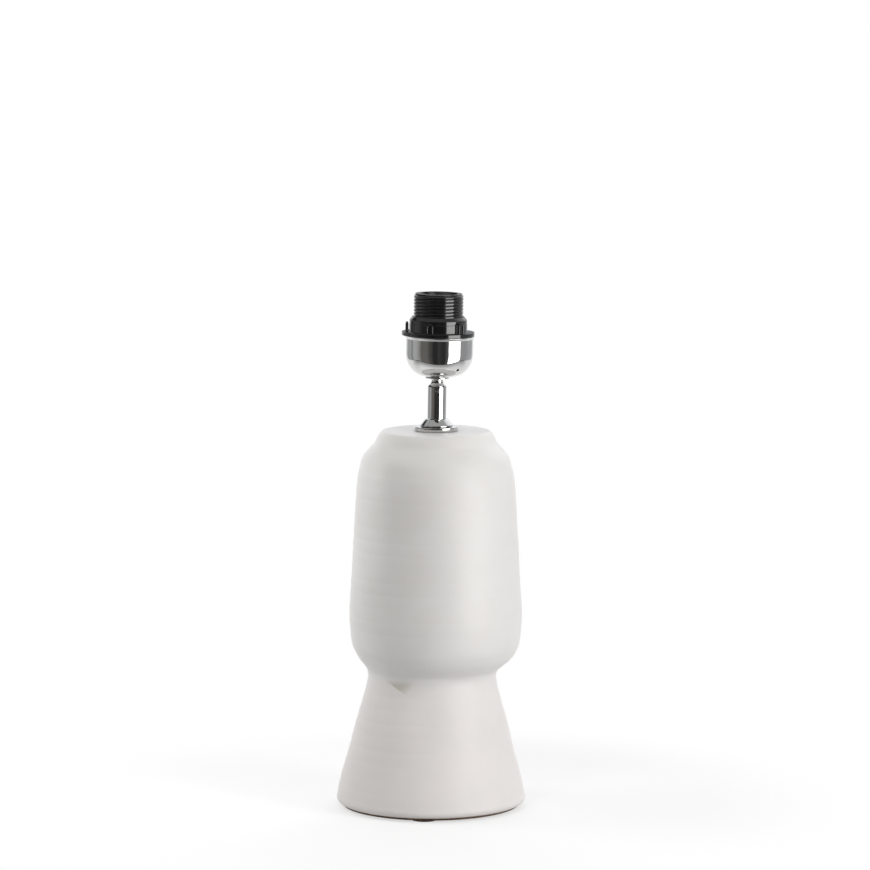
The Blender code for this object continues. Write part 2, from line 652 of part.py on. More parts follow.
def make_disc_and_dome(chrome, rubber):
    seat = add_empty("seat_axis", (STEM_OFFSET, 0.0, CERAMIC_TOP))
    gasket_height = DISC_RECESS_DEPTH - SEAT_GAP
    add_object("seat_gasket", turned(washer_outline(
        TOP_HOLE_RADIUS, DISC_RECESS_RADIUS - SEAT_GAP, SEAT_GAP, gasket_height), FACETS_MEDIUM),
        rubber, seat)
    recess_top = DISC_BOTTOM + DISC_RECESS_DEPTH
    add_object("flange_disc", turned(rounded([
        (DISC_RECESS_RADIUS, DISC_BOTTOM, 0.0),
        (DISC_RADIUS, DISC_BOTTOM, DISC_EDGE_RADIUS), (DISC_RADIUS, DISC_TOP, DISC_EDGE_RADIUS),
        (BORE_RADIUS, DISC_TOP, 0.0), (BORE_RADIUS, recess_top, 0.0),
        (DISC_RECESS_RADIUS, recess_top, 0.0)], 2), FACETS_WIDE), chrome, seat)
    brim = DOME_BOTTOM + DOME_BRIM_HEIGHT
    add_object("dome_cap", turned(rounded([
        (BORE_RADIUS, DOME_BOTTOM, 0.0), (DOME_RADIUS, DOME_BOTTOM, 0.0),
        (DOME_RADIUS, brim, DOME_EDGE_RADIUS), (DOME_TOP_RADIUS, DOME_TOP, DOME_EDGE_RADIUS),
        (BORE_RADIUS, DOME_TOP, 0.0)], 2),
        FACETS_MEDIUM), chrome, seat)


# Leaning stem: pipe, neck tube and cup

def make_pipe(steel, stem):
    bottom = PIPE_BOTTOM - CERAMIC_TOP
    edge = (PIPE_RADIUS - PIPE_BORE_RADIUS) / 3.0
    add_object("lamp_pipe", turned([
        (PIPE_BORE_RADIUS, bottom), (PIPE_RADIUS - edge, bottom), (PIPE_RADIUS, bottom + edge),
        (PIPE_RADIUS, PIPE_TOP - edge), (PIPE_RADIUS - edge, PIPE_TOP), (PIPE_BORE_RADIUS, PIPE_TOP)],
        FACETS_SMALL), steel, stem)


def make_neck_tube(chrome, steel, stem):
    slope_low = TUBE_SHOULDER + SHOULDER_HEIGHT * SLOPE_SHARE
    slope_high = NECK_BOTTOM + NECK_LENGTH * (1.0 - SLOPE_SHARE)
    fillet = TUBE_RADIUS - NECK_RADIUS
    tube = add_object("neck_tube", turned(rounded([
        (BORE_RADIUS, TUBE_BOTTOM, 0.0), (TUBE_RADIUS, TUBE_BOTTOM, 0.0), (TUBE_RADIUS, slope_low, fillet),
        (NECK_RADIUS, slope_high, fillet), (NECK_RADIUS, BOSS_BOTTOM, fillet),
        (BOSS_RADIUS, BOSS_BOTTOM, BOSS_EDGE_RADIUS), (BOSS_RADIUS, BOSS_TOP, BOSS_EDGE_RADIUS),
        (STUB_RADIUS, BOSS_TOP, 0.0), (STUB_RADIUS, STUB_TOP, BOSS_EDGE_RADIUS),
        (WIRE_BORE_RADIUS, STUB_TOP, 0.0), (WIRE_BORE_RADIUS, PIPE_BORE_TOP, 0.0),
        (BORE_RADIUS, PIPE_BORE_TOP, 0.0)], 3), FACETS_MEDIUM), chrome, stem)
    height = TUBE_SHOULDER - GRUB_BELOW_SHOULDER
    boolean(tube, cylinder(GRUB_RADIUS + GRUB_GAP, (0.0, -PIPE_RADIUS / 2.0, height),
                           (0.0, -TUBE_RADIUS - OVERRUN, height), FACETS_TINY))
    front = -TUBE_RADIUS + GRUB_SINK
    grub = add_object("neck_grub_screw", cylinder(
        GRUB_RADIUS, (0.0, -PIPE_RADIUS - GRUB_GAP, height), (0.0, front, height), FACETS_TINY),
        steel, stem)
    slot = box((-GRUB_SLOT_WIDTH / 2.0, front - OVERRUN, -GRUB_RADIUS - OVERRUN),
               (GRUB_SLOT_WIDTH / 2.0, front + GRUB_SLOT_DEPTH, GRUB_RADIUS + OVERRUN))
    bmesh.ops.rotate(slot, verts=slot.verts, cent=(0, 0, 0),
                     matrix=Matrix.Rotation(math.radians(-GRUB_SLOT_TURN), 3, "Y"))
    bmesh.ops.translate(slot, verts=slot.verts, vec=(0.0, 0.0, height))
    boolean(grub, slot)


def make_socket_cup(chrome, stem):
    bowl = []
    steps = 8
    power = 2.0 / CUP_FULLNESS
    for k in range(steps + 1):
        t = math.pi / 2.0 * k / steps
        share_r = math.sin(t) ** power
        share_h = 1.0 - math.cos(t) ** power
        bowl.append((CUP_FLAT_RADIUS + (CUP_RADIUS - CUP_FLAT_RADIUS) * share_r,
                     CUP_BOTTOM + CUP_BOWL_HEIGHT * share_h))
    rim_low = CUP_TOP - CUP_RIM_HEIGHT
    rim_radius = CUP_RADIUS + CUP_RIM_FLARE
    rim = [(CUP_RADIUS, rim_low), (rim_radius, CUP_TOP - CUP_RIM_EDGE), (rim_radius - CUP_RIM_EDGE, CUP_TOP)]
    inner_bowl = offset_inwards(bowl, -CUP_WALL)[::2]
    inner_bowl[0] = (inner_bowl[0][0], CUP_BOTTOM + CUP_WALL)
    inner = [(rim_radius - CUP_RIM_EDGE - CUP_WALL, CUP_TOP), (CUP_RADIUS - CUP_WALL, rim_low)]
    inner += inner_bowl[::-1]
    outline = [(CUP_HOLE_RADIUS, CUP_BOTTOM)] + bowl + rim + inner
    outline.append((CUP_HOLE_RADIUS, CUP_BOTTOM + CUP_WALL))
    cup = add_object("socket_cup", turned(outline, FACETS_WIDE), chrome, stem, (CUP_OFFSET, 0.0, 0.0))
    turn = math.radians(CUP_VENT_TURN)
    centre = Vector((CUP_VENT_REACH * math.sin(turn), -CUP_VENT_REACH * math.cos(turn),
                     CUP_BOTTOM + CUP_VENT_HEIGHT))
    drill = Vector((math.sin(turn), -math.cos(turn), -1.0)).normalized() * CUP_VENT_RADIUS * 2.0
    boolean(cup, cylinder(CUP_VENT_RADIUS, centre - drill, centre + drill, FACETS_TINY))


def make_cup_clamp(zinc, brass, stem):
    add_object("cup_lock_washer", star_washer(
        BORE_RADIUS, CUP_WASHER_RADIUS, LOCK_TOOTH_DEPTH, LOCK_TEETH, CUP_WASHER_BOTTOM,
        CUP_WASHER_THICKNESS), zinc, stem)
    tag = add_object("earth_tag", turned(washer_outline(
        BORE_RADIUS, TAG_RADIUS, TAG_BOTTOM, TAG_THICKNESS), FACETS_SMALL), brass, stem)
    tab = box((-TAG_WIDTH / 2.0, -TAG_LENGTH, TAG_BOTTOM),
              (TAG_WIDTH / 2.0, -(BORE_RADIUS + TAG_RADIUS) / 2.0, TAG_BOTTOM + TAG_THICKNESS))
    boolean(tag, turn_about_z(tab, TAG_TURN), "UNION")
    hole_reach = TAG_LENGTH - TAG_WIDTH / 2.0
    hole = cylinder(TAG_HOLE_RADIUS, (0.0, -hole_reach, TAG_BOTTOM - OVERRUN),
                    (0.0, -hole_reach, TAG_BOTTOM + TAG_THICKNESS + OVERRUN), FACETS_TINY)
    boolean(tag, turn_about_z(hole, TAG_TURN))
    add_object("cup_nut", hex_nut(
        NUT_ACROSS_FLATS, BORE_RADIUS, CUP_NUT_BOTTOM, NUT_THICKNESS, NUT_CHAMFER), zinc, stem)


# Lampholder

def make_lampholder_cap(plastic, brass, steel, stem):
    insert_top = INSERT_BOTTOM + INSERT_HEIGHT
    insert_bore = INSERT_RADIUS + SEAT_GAP
    boss_radius = insert_bore + CAP_BOSS_WALL
    boss_top = insert_top + SEAT_GAP + CAP_FLOOR / 2.0
    dome = []
    steps = 5
    for k in range(steps + 1):
        t = math.pi / 2.0 * k / steps
        dome.append((CAP_BASE_RADIUS + (CAP_RADIUS - CAP_BASE_RADIUS) * math.sin(t),
                     CAP_BOTTOM + CAP_DOME_HEIGHT * (1.0 - math.cos(t))))
    inside = [(r, z) for r, z in offset_inwards(dome, -CAP_WALL)
              if r > boss_radius + CAP_WALL and z > CAP_BOTTOM + CAP_FLOOR]
    outline = [(insert_bore, CAP_BOTTOM)] + dome + [(CAP_RADIUS, CAP_TOP), (CAP_RADIUS - CAP_WALL, CAP_TOP)]
    outline += inside[::-1] + [(boss_radius, CAP_BOTTOM + CAP_FLOOR), (boss_radius, boss_top)]
    lip = insert_top + SEAT_GAP
    outline += [(BORE_RADIUS, boss_top), (BORE_RADIUS, lip), (insert_bore, lip)]
    cap = add_object("lampholder_cap", turned(outline, FACETS_MEDIUM), plastic, stem)

    height = CAP_BOTTOM + CAP_GRUB_HEIGHT
    hole_radius = CAP_GRUB_RADIUS + GRUB_GAP

    def across(radius, near, far):
        rod = cylinder(radius, (0.0, -near, height), (0.0, -far, height), FACETS_TINY)
        return turn_about_z(rod, CAP_GRUB_TURN)

    boolean(cap, across(hole_radius, STUB_RADIUS, CAP_RADIUS + OVERRUN))
    waist = INSERT_RADIUS - INSERT_GROOVE
    groove_low = INSERT_BOTTOM + INSERT_HEIGHT * (1.0 - GROOVE_SHARE) / 2.0
    groove_high = insert_top - INSERT_HEIGHT * (1.0 - GROOVE_SHARE) / 2.0
    insert = add_object("cap_thread_insert", turned([
        (BORE_RADIUS, INSERT_BOTTOM), (INSERT_RADIUS, INSERT_BOTTOM), (INSERT_RADIUS, groove_low),
        (waist, groove_low), (waist, groove_high), (INSERT_RADIUS, groove_high),
        (INSERT_RADIUS, insert_top), (BORE_RADIUS, insert_top)], FACETS_SMALL), brass, stem)
    boolean(insert, across(hole_radius, STUB_RADIUS - OVERRUN, INSERT_RADIUS + OVERRUN))
    add_object("cap_grub_screw", across(
        CAP_GRUB_RADIUS, STUB_RADIUS + THREAD_GAP, boss_radius + CAP_GRUB_RADIUS), steel, stem)


def make_skirt(plastic, stem):
    """Black skirt: shade thread outside, lamp thread inside, a shoulder and a spigot below."""
    facets = FACETS_THREAD
    thread_root = SKIRT_THREAD_RADIUS - SKIRT_THREAD_DEPTH
    lamp_crest = LAMP_THREAD_RADIUS - LAMP_THREAD_DEPTH
    lamp_top = SKIRT_TOP - LAMP_MOUTH_HEIGHT
    lamp_bottom = lamp_top - LAMP_THREAD_LENGTH
    thread_top = SKIRT_TOP - SKIRT_RIM_HEIGHT
    bm = bmesh.new()
    outer_low, outer_high = helical_thread(bm, SKIRT_THREAD_RADIUS, thread_root, SHOULDER_TOP, thread_top,
                                           SKIRT_THREAD_PITCH, facets)
    lamp_low, lamp_high = helical_thread(bm, lamp_crest, LAMP_THREAD_RADIUS, lamp_bottom, lamp_top,
                                         LAMP_THREAD_PITCH, facets)
    below = [add_ring(bm, r, z, facets) for r, z in (
        (CHAMBER_RADIUS, lamp_bottom), (CHAMBER_RADIUS, BLOCK_TOP + SEAT_GAP),
        (SPIGOT_BORE_RADIUS, BLOCK_TOP + SEAT_GAP), (SPIGOT_BORE_RADIUS, SKIRT_BOTTOM),
        (SPIGOT_RADIUS, SKIRT_BOTTOM), (SPIGOT_RADIUS, SHOULDER_BOTTOM),
        (SKIRT_SHOULDER_RADIUS, SHOULDER_BOTTOM), (SKIRT_SHOULDER_RADIUS, SHOULDER_TOP))]
    above = [add_ring(bm, r, z, facets) for r, z in (
        (thread_root - SKIRT_RIM_HEIGHT, SKIRT_TOP), (LAMP_THREAD_RADIUS + LAMP_MOUTH_FLARE, SKIRT_TOP))]
    join_rings(bm, [lamp_low] + below + [outer_low])
    join_rings(bm, [outer_high] + above + [lamp_high])
    bmesh.ops.remove_doubles(bm, verts=bm.verts, dist=WELD_DISTANCE)
    add_object("lampholder_skirt", bm, plastic, stem)


def make_contacts(block_mat, brass, bronze, steel, stem):
    """Insulating block, its two terminals with screws, and the two sprung leaves."""
    block_radius = SPIGOT_BORE_RADIUS - SEAT_GAP
    block = add_object("terminal_block", turned(rounded([
        (0.0, BLOCK_BOTTOM, 0.0), (block_radius, BLOCK_BOTTOM, 0.0),
        (block_radius, BLOCK_TOP, 0.0), (0.0, BLOCK_TOP, 0.0)]), FACETS_MEDIUM), block_mat, stem)
    wide, deep, tall = TERMINAL_SIZE
    pocket_top = BLOCK_BOTTOM + tall + TERMINAL_RECESS + SEAT_GAP
    head_top = BLOCK_TOP + SEAT_GAP + HEAD_THICKNESS
    for side, name, reach in ((-1.0, "live_terminal", HEAD_WIDTH / 2.0),
                              (1.0, "neutral_terminal", NEUTRAL_HEAD_REACH)):
        x = side * TERMINAL_OFFSET
        pocket = box((x - wide / 2.0 - SEAT_GAP, -deep / 2.0 - SEAT_GAP, BLOCK_BOTTOM - OVERRUN),
                     (x + wide / 2.0 + SEAT_GAP, deep / 2.0 + SEAT_GAP, pocket_top))
        boolean(block, pocket)
        pin_hole = cylinder(PIN_RADIUS + SEAT_GAP, (x, 0.0, pocket_top - OVERRUN),
                            (x, 0.0, BLOCK_TOP + OVERRUN), FACETS_TINY)
        boolean(block, pin_hole)
        foot = BLOCK_BOTTOM + TERMINAL_RECESS
        terminal = add_object(name, box((x - wide / 2.0, -deep / 2.0, foot),
                                        (x + wide / 2.0, deep / 2.0, foot + tall)), brass, stem)
        pin = cylinder(PIN_RADIUS, (x, 0.0, foot + tall / 2.0), (x, 0.0, head_top - HEAD_THICKNESS / 2.0),
                       FACETS_TINY)
        boolean(terminal, pin, "UNION")
        near, far = sorted((x - side * HEAD_WIDTH / 2.0, x + side * reach))
        head = box((near, -HEAD_WIDTH / 2.0, head_top - HEAD_THICKNESS), (far, HEAD_WIDTH / 2.0, head_top))
        boolean(terminal, head, "UNION")
        boolean(terminal, cylinder(TERMINAL_SCREW_RADIUS + GRUB_GAP, (x, 0.0, foot - OVERRUN),
                                   (x, 0.0, foot + TERMINAL_SCREW_LENGTH), FACETS_TINY))
        under = foot - SEAT_GAP
        screw_bottom = under - TERMINAL_HEAD_HEIGHT
        screw_top = under + TERMINAL_SCREW_LENGTH
        screw = turned([
            (0.0, screw_bottom), (TERMINAL_HEAD_RADIUS, screw_bottom), (TERMINAL_HEAD_RADIUS, under),
            (TERMINAL_SCREW_RADIUS, under), (TERMINAL_SCREW_RADIUS, screw_top), (0.0, screw_top)],
            FACETS_TINY)
        add_object(name + "_screw", screw, steel, stem, (x, 0.0, 0.0))

    # The centre leaf rises from the live terminal's head to the axis. Its origin is on its pivot.
    rise = CENTRE_LEAF_RISE
    reach = CENTRE_PIVOT_OFFSET
    line = [(reach * along, rise * up) for along, up in CENTRE_LEAF_SHARES]
    add_object("centre_contact", swept_strip(line, CENTRE_LEAF_WIDTH, LEAF_THICKNESS), bronze, stem,
               (-CENTRE_PIVOT_OFFSET, 0.0, PIVOT_HEIGHT))

    # The side leaf stands beside the neutral terminal's head and bows in towards the lamp's shell.
    tall = SIDE_LEAF_HEIGHT
    line = [(-SIDE_LEAF_BOW * bow, tall * up) for bow, up in SIDE_LEAF_SHARES]
    add_object("side_contact", swept_strip(line, SIDE_LEAF_WIDTH, LEAF_THICKNESS), bronze, stem,
               (SIDE_LEAF_OFFSET, 0.0, PIVOT_HEIGHT))


def make_shade_ring(plastic, stem):
    bore = SKIRT_THREAD_RADIUS + RING_GAP
    collar_top = RING_FLANGE_TOP + RING_COLLAR_HEIGHT
    cone_top = collar_top + RING_CONE_HEIGHT
    ring = add_object("shade_ring", turned(rounded([
        (bore, RING_BOTTOM, 0.0), (RING_FLANGE_RADIUS, RING_BOTTOM, RING_FLANGE_EDGE),
        (RING_FLANGE_RADIUS, RING_FLANGE_TOP, RING_FLANGE_EDGE), (RING_COLLAR_RADIUS, RING_FLANGE_TOP, 0.0),
        (RING_COLLAR_RADIUS, collar_top, RING_COLLAR_EDGE),
        (bore + RING_TOP_WIDTH, cone_top, 0.0), (bore, cone_top, 0.0)], 2), FACETS_WIDE),
        plastic, stem)
    for k in range(LUG_COUNT):
        boolean(ring, make_lug(LUG_TURN + LUG_STEP * k), "UNION")


def make_lug(turn):
    """A finger lug: an arch on two legs, let into the flange."""
    low = RING_FLANGE_TOP - LUG_SINK
    outer = LUG_WIDTH / 2.0
    inner = outer - LUG_LEG_WIDTH
    spring = RING_FLANGE_TOP + LUG_HEIGHT - outer
    steps = 5

    def arch(radius, way):
        angles = [math.pi * k / steps for k in range(steps + 1)][::way]
        return [(-radius * math.cos(a), spring + radius * math.sin(a)) for a in angles]

    outline = [(-outer, low)] + arch(outer, 1) + [(outer, low), (inner, low)]
    outline += arch(inner, -1) + [(-inner, low)]
    bm = bmesh.new()
    face = bm.faces.new([bm.verts.new((x, -LUG_RADIUS, z)) for x, z in outline])
    side = bmesh.ops.extrude_face_region(bm, geom=[face])["geom"]
    verts = [item for item in side if isinstance(item, bmesh.types.BMVert)]
    bmesh.ops.translate(bm, verts=verts, vec=(0.0, LUG_THICKNESS, 0.0))
    bmesh.ops.triangulate(bm, faces=[f for f in bm.faces if len(f.verts) > 4])
    return turn_about_z(bm, turn)


def main():
    clear_scene()
    ceramic = make_material("ceramic_white", (0.78, 0.77, 0.75), 0.55)
    chrome = make_material("chrome", (0.80, 0.80, 0.79), 0.08, 1.0)
    plastic = make_material("black_plastic", (0.018, 0.017, 0.019), 0.28)
    cork = make_material("brown_pad", (0.20, 0.13, 0.09), 0.90)
    rubber = make_material("black_rubber", (0.02, 0.02, 0.02), 0.80)
    zinc = make_material("zinc_steel", (0.55, 0.56, 0.56), 0.40, 1.0)
    brass = make_material("brass", (0.72, 0.55, 0.28), 0.30, 1.0)
    bronze = make_material("spring_bronze", (0.70, 0.50, 0.32), 0.30, 1.0)
    insulator = make_material("white_insulator", (0.75, 0.74, 0.70), 0.50)

    make_ceramic_body(ceramic)
    make_foot_parts(cork, rubber, zinc)
    make_cable_grommet(rubber)
    make_disc_and_dome(chrome, rubber)
    stem = add_empty("stem_axis", (STEM_OFFSET, 0.0, CERAMIC_TOP), STEM_LEAN)
    make_pipe(zinc, stem)
    make_neck_tube(chrome, zinc, stem)
    make_socket_cup(chrome, stem)
    make_cup_clamp(zinc, brass, stem)
    make_lampholder_cap(plastic, brass, zinc, stem)
    make_skirt(plastic, stem)
    make_contacts(insulator, brass, bronze, zinc, stem)
    make_shade_ring(plastic, stem)


main()
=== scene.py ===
import json
import math

import bmesh
import bpy
from mathutils import Matrix, Vector

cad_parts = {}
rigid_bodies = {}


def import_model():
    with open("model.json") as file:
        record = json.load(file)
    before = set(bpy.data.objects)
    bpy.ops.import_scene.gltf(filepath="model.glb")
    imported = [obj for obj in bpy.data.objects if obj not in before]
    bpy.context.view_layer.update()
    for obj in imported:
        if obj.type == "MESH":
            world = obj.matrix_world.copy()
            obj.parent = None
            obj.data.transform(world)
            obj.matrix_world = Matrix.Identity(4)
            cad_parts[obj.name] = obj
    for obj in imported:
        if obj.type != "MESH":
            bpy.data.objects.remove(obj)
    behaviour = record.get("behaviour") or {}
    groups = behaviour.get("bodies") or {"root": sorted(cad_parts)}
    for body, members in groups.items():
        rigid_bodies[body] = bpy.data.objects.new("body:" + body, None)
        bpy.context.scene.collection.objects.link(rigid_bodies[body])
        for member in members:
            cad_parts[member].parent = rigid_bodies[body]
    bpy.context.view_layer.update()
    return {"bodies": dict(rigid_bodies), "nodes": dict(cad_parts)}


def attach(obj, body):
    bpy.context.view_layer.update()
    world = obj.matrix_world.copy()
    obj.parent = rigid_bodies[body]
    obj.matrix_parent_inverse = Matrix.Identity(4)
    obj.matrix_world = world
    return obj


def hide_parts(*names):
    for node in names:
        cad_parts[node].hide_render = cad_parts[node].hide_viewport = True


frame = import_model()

cadNodes = frame["nodes"]
kept = set(frame["bodies"].values()) | set(cadNodes.values())
for stray in [item for item in bpy.data.objects if item not in kept]:
    bpy.data.objects.remove(stray, do_unlink=True)
print("frame loaded,", len(cadNodes), "nodes")

class Values(dict):
    # a dictionary whose values are also read as attributes
    __getattr__ = dict.__getitem__


# The stem: where its axis leaves the ceramic's top, and how far it leans to the right.
# Heights of everything on it are measured from that point.
stem = Values(foot=(0.0046, 0.0, 0.3115), lean=0.97)
onSeat = Matrix.Translation(stem.foot)
onStem = onSeat @ Matrix.Rotation(math.radians(stem.lean), 4, "Y")
asMade = Matrix.Identity(4)


# Small helpers for node trees

def feed(tree, socket, value):
    if isinstance(value, bpy.types.NodeSocket):
        tree.links.new(value, socket)
    else:
        socket.default_value = value


def addNode(tree, kind, inputs=None, **settings):
    node = tree.nodes.new(kind)
    for key, value in settings.items():
        setattr(node, key, value)
    for key, value in (inputs or {}).items():
        feed(tree, node.inputs[key], value)
    return node


def calc(tree, operation, *values, clamp=False):
    node = tree.nodes.new("ShaderNodeMath")
    node.operation = operation
    node.use_clamp = clamp
    for k, value in enumerate(values):
        feed(tree, node.inputs[k], value)
    return node.outputs[0]


def times(tree, *values):
    return calc(tree, "MULTIPLY", *values)


def plus(tree, *values):
    return calc(tree, "ADD", *values)


def minus(tree, *values):
    return calc(tree, "SUBTRACT", *values)


def remap(tree, value, low, high, toLow=0.0, toHigh=1.0, smooth=True):
    node = addNode(tree, "ShaderNodeMapRange", {
        "Value": value, "From Min": low, "From Max": high, "To Min": toLow, "To Max": toHigh})
    node.interpolation_type = "SMOOTHSTEP" if smooth else "LINEAR"
    return node.outputs["Result"]


def blendColours(tree, share, first, second):
    node = addNode(tree, "ShaderNodeMix", data_type="RGBA")
    feed(tree, node.inputs["Factor"], share)
    for socket, value in zip([s for s in node.inputs if s.type == "RGBA"], (first, second)):
        feed(tree, socket, value if isinstance(value, bpy.types.NodeSocket) else (*value, 1.0))
    return [s for s in node.outputs if s.type == "RGBA"][0]


def splitAxes(tree, vector):
    return addNode(tree, "ShaderNodeSeparateXYZ", {0: vector}).outputs


def objectSpace(tree):
    return addNode(tree, "ShaderNodeTexCoord").outputs["Object"]


def mixShaders(tree, share, first, second):
    return addNode(tree, "ShaderNodeMixShader", {0: share, 1: first, 2: second}).outputs[0]


def whiteGlow(tree, strength):
    node = addNode(tree, "ShaderNodeEmission", {"Color": (1.0, 1.0, 1.0, 1.0), "Strength": strength})
    return node.outputs[0]


# Shader groups that several finishes share

def makeGroup(name, inputs, outputs):
    group = bpy.data.node_groups.new(name, "ShaderNodeTree")
    for label, value in inputs:
        kind = "NodeSocketFloat" if isinstance(value, float) else "NodeSocketVector"
        group.interface.new_socket(label, in_out="INPUT", socket_type=kind).default_value = value
    for label in outputs:
        group.interface.new_socket(label, in_out="OUTPUT", socket_type="NodeSocketFloat")
    start = group.nodes.new("NodeGroupInput")
    end = group.nodes.new("NodeGroupOutput")
    return group, start.outputs, end.inputs


def buildMottle():
    # cloud is a slow change over the surface, tooth a fine one
    group, given, out = makeGroup("mottle", [("Cloud Size", 0.02), ("Tooth Size", 0.001),
        ("Stretch", (1.0, 1.0, 1.0)), ("Seed", 0.0)], ["Cloud", "Tooth"])
    place = objectSpace(group)
    drawn = addNode(group, "ShaderNodeVectorMath", {0: place, 1: given["Stretch"]},
        operation="MULTIPLY").outputs[0]
    for label, size, detail in (("Cloud", given["Cloud Size"], 3.0), ("Tooth", given["Tooth Size"], 2.0)):
        noise = addNode(group, "ShaderNodeTexNoise", {
            "Vector": drawn, "W": given["Seed"], "Scale": calc(group, "DIVIDE", 1.0, size), "Detail": detail,
            "Roughness": 0.55}, noise_dimensions="4D")
        group.links.new(noise.outputs[0], out[label])
    return group


def buildTurningMarks():
    # fine rings left by turning or throwing, round the upright axis
    group, given, out = makeGroup("turningMarks", [("Spacing", 0.002), ("Wander", 0.002), ("Seed", 0.0)],
        ["Marks"])
    place = objectSpace(group)
    slow = addNode(group, "ShaderNodeTexNoise", {"Vector": place, "W": given["Seed"], "Scale": 14.0,
        "Detail": 1.0}, noise_dimensions="4D").outputs[0]
    height = splitAxes(group, place)["Z"]
    drift = times(group, minus(group, slow, 0.5), given["Wander"])
    along = calc(group, "DIVIDE", plus(group, height, drift), given["Spacing"])
    lines = addNode(group, "ShaderNodeTexNoise", {"W": along, "Scale": 1.0, "Detail": 3.0, "Roughness": 0.6},
        noise_dimensions="1D")
    group.links.new(lines.outputs[0], out["Marks"])
    return group


mottle = buildMottle()
turningMarks = buildTurningMarks()


def useGroup(tree, group, values):
    node = tree.nodes.new("ShaderNodeGroup")
    node.node_tree = group
    for label, value in values.items():
        feed(tree, node.inputs[label], value)
    return node.outputs


def startMaterial(name, roughness, metallic=0.0, **sockets):
    mat = bpy.data.materials.new(name)
    mat.use_nodes = True
    shader = mat.node_tree.nodes["Principled BSDF"]
    shader.inputs["Roughness"].default_value = roughness
    shader.inputs["Metallic"].default_value = metallic
    for label, value in sockets.items():
        shader.inputs[label.replace("_", " ")].default_value = value
    return mat, mat.node_tree, shader


def bump(tree, shader, height, depth):
    node = addNode(tree, "ShaderNodeBump", {"Height": height, "Strength": 1.0, "Distance": depth})
    tree.links.new(node.outputs[0], shader.inputs["Normal"])


# Finishes

def makeStoneware():
    look = Values(glaze=(0.826, 0.811, 0.791), thin=(0.788, 0.770, 0.744), clay=(0.56, 0.47, 0.37),
            warm=(0.845, 0.806, 0.786), warmFrom=0.118, warmTo=0.070,
            bareBelow=0.0042, roughness=(0.42, 0.50), depth=0.00004,
            # the pinched fold under the hip, a shallow dent darkened with painted shade: corners as (degrees
            # round from the front, height)
            foldLeft=(-46.5, 0.1114), foldTip=(-20.4, 0.0988), foldRight=(-9.0, 0.1130),
            foldTone=(0.60, 0.57, 0.50), foldShare=0.85, foldDepth=0.0006, foldRagged=0.0012,
            foldSoft=(0.0012, 0.0110, 0.0055), waistRadius=0.0535, bareFade=0.0008, thinShare=0.5)
    mat, tree, shader = startMaterial("mattGlazedStoneware", 0.3)
    uneven = useGroup(tree, mottle, {"Cloud Size": 0.035, "Tooth Size": 0.0011})
    marks = useGroup(tree, turningMarks, {"Spacing": 0.0022, "Wander": 0.004})["Marks"]
    axes = splitAxes(tree, objectSpace(tree))
    height = axes["Z"]
    thin = remap(tree, uneven["Cloud"], 0.42, 0.66)
    # the glaze turns warmer in tone from below the hip down towards the foot
    glaze = blendColours(tree, remap(tree, height, look.warmFrom, look.warmTo), look.glaze, look.warm)
    glaze = blendColours(tree, times(tree, thin, look.thinShare), glaze, look.thin)

    # the fold is a triangle that hangs from the waist, crisp at its lower left edge and fading to the right; it
    # is pressed in as a bump and darkened with painted shade
    turned = calc(tree, "ARCTAN2", axes["X"], times(tree, axes["Y"], -1.0))
    arc = times(tree, turned, look.waistRadius)
    ragged = times(tree, minus(tree, uneven["Tooth"], 0.5), look.foldRagged)

    def pastEdge(first, second, soft):
        # how far a point is to the left of the line from first to second, from 0 to 1 over the soft width
        a, b = [Vector((math.radians(angle) * look.waistRadius, high)) for angle, high in (first, second)]
        way = (b - a).normalized()
        off = minus(tree, times(tree, minus(tree, height, a.y), way.x),
            times(tree, minus(tree, arc, a.x), way.y))
        return remap(tree, plus(tree, off, ragged), 0.0, soft)

    corners = [look.foldLeft, look.foldTip, look.foldRight]
    left, right, above = [pastEdge(corners[k], corners[(k + 1) % 3], look.foldSoft[k]) for k in range(3)]
    foldDentAndShade = times(tree, left, times(tree, right, above))
    # painted shade: on the front half only, the glaze inside the fold's triangle is blended towards a darker
    # brownish tone
    foldDentAndShade = times(tree, foldDentAndShade, calc(tree, "LESS_THAN", axes["Y"], 0.0))
    glaze = blendColours(tree, times(tree, foldDentAndShade, look.foldShare), glaze, look.foldTone)

    bare = remap(tree, height, look.bareBelow, look.bareBelow - look.bareFade)
    tree.links.new(blendColours(tree, bare, glaze, look.clay), shader.inputs["Base Color"])
    dry = calc(tree, "MAXIMUM", uneven["Tooth"], calc(tree, "MAXIMUM", bare, foldDentAndShade))
    low, high = look.roughness
    tree.links.new(remap(tree, dry, 0.3, 1.0, low, high), shader.inputs["Roughness"])
    relief = plus(tree, times(tree, marks, 0.5), times(tree, uneven["Tooth"], 0.3))
    relief = minus(tree, times(tree, relief, look.depth), times(tree, foldDentAndShade, look.foldDepth))
    bump(tree, shader, relief, 1.0)
    return mat


def makeChrome():
    look = Values(colour=(0.66, 0.66, 0.655), tarnish=(0.60, 0.60, 0.59), roughness=(0.035, 0.10),
        depth=0.00006)
    mat, tree, shader = startMaterial("polishedChrome", 0.06, 1.0)
    uneven = useGroup(tree, mottle, {"Cloud Size": 0.009, "Tooth Size": 0.0007, "Seed": 3.0})
    hazy = remap(tree, uneven["Cloud"], 0.45, 0.75)
    tree.links.new(blendColours(tree, hazy, look.colour, look.tarnish), shader.inputs["Base Color"])
    low, high = look.roughness
    smudge = times(tree, hazy, uneven["Tooth"])
    tree.links.new(remap(tree, smudge, 0.0, 0.8, low, high), shader.inputs["Roughness"])
    bump(tree, shader, uneven["Cloud"], look.depth)
    return mat


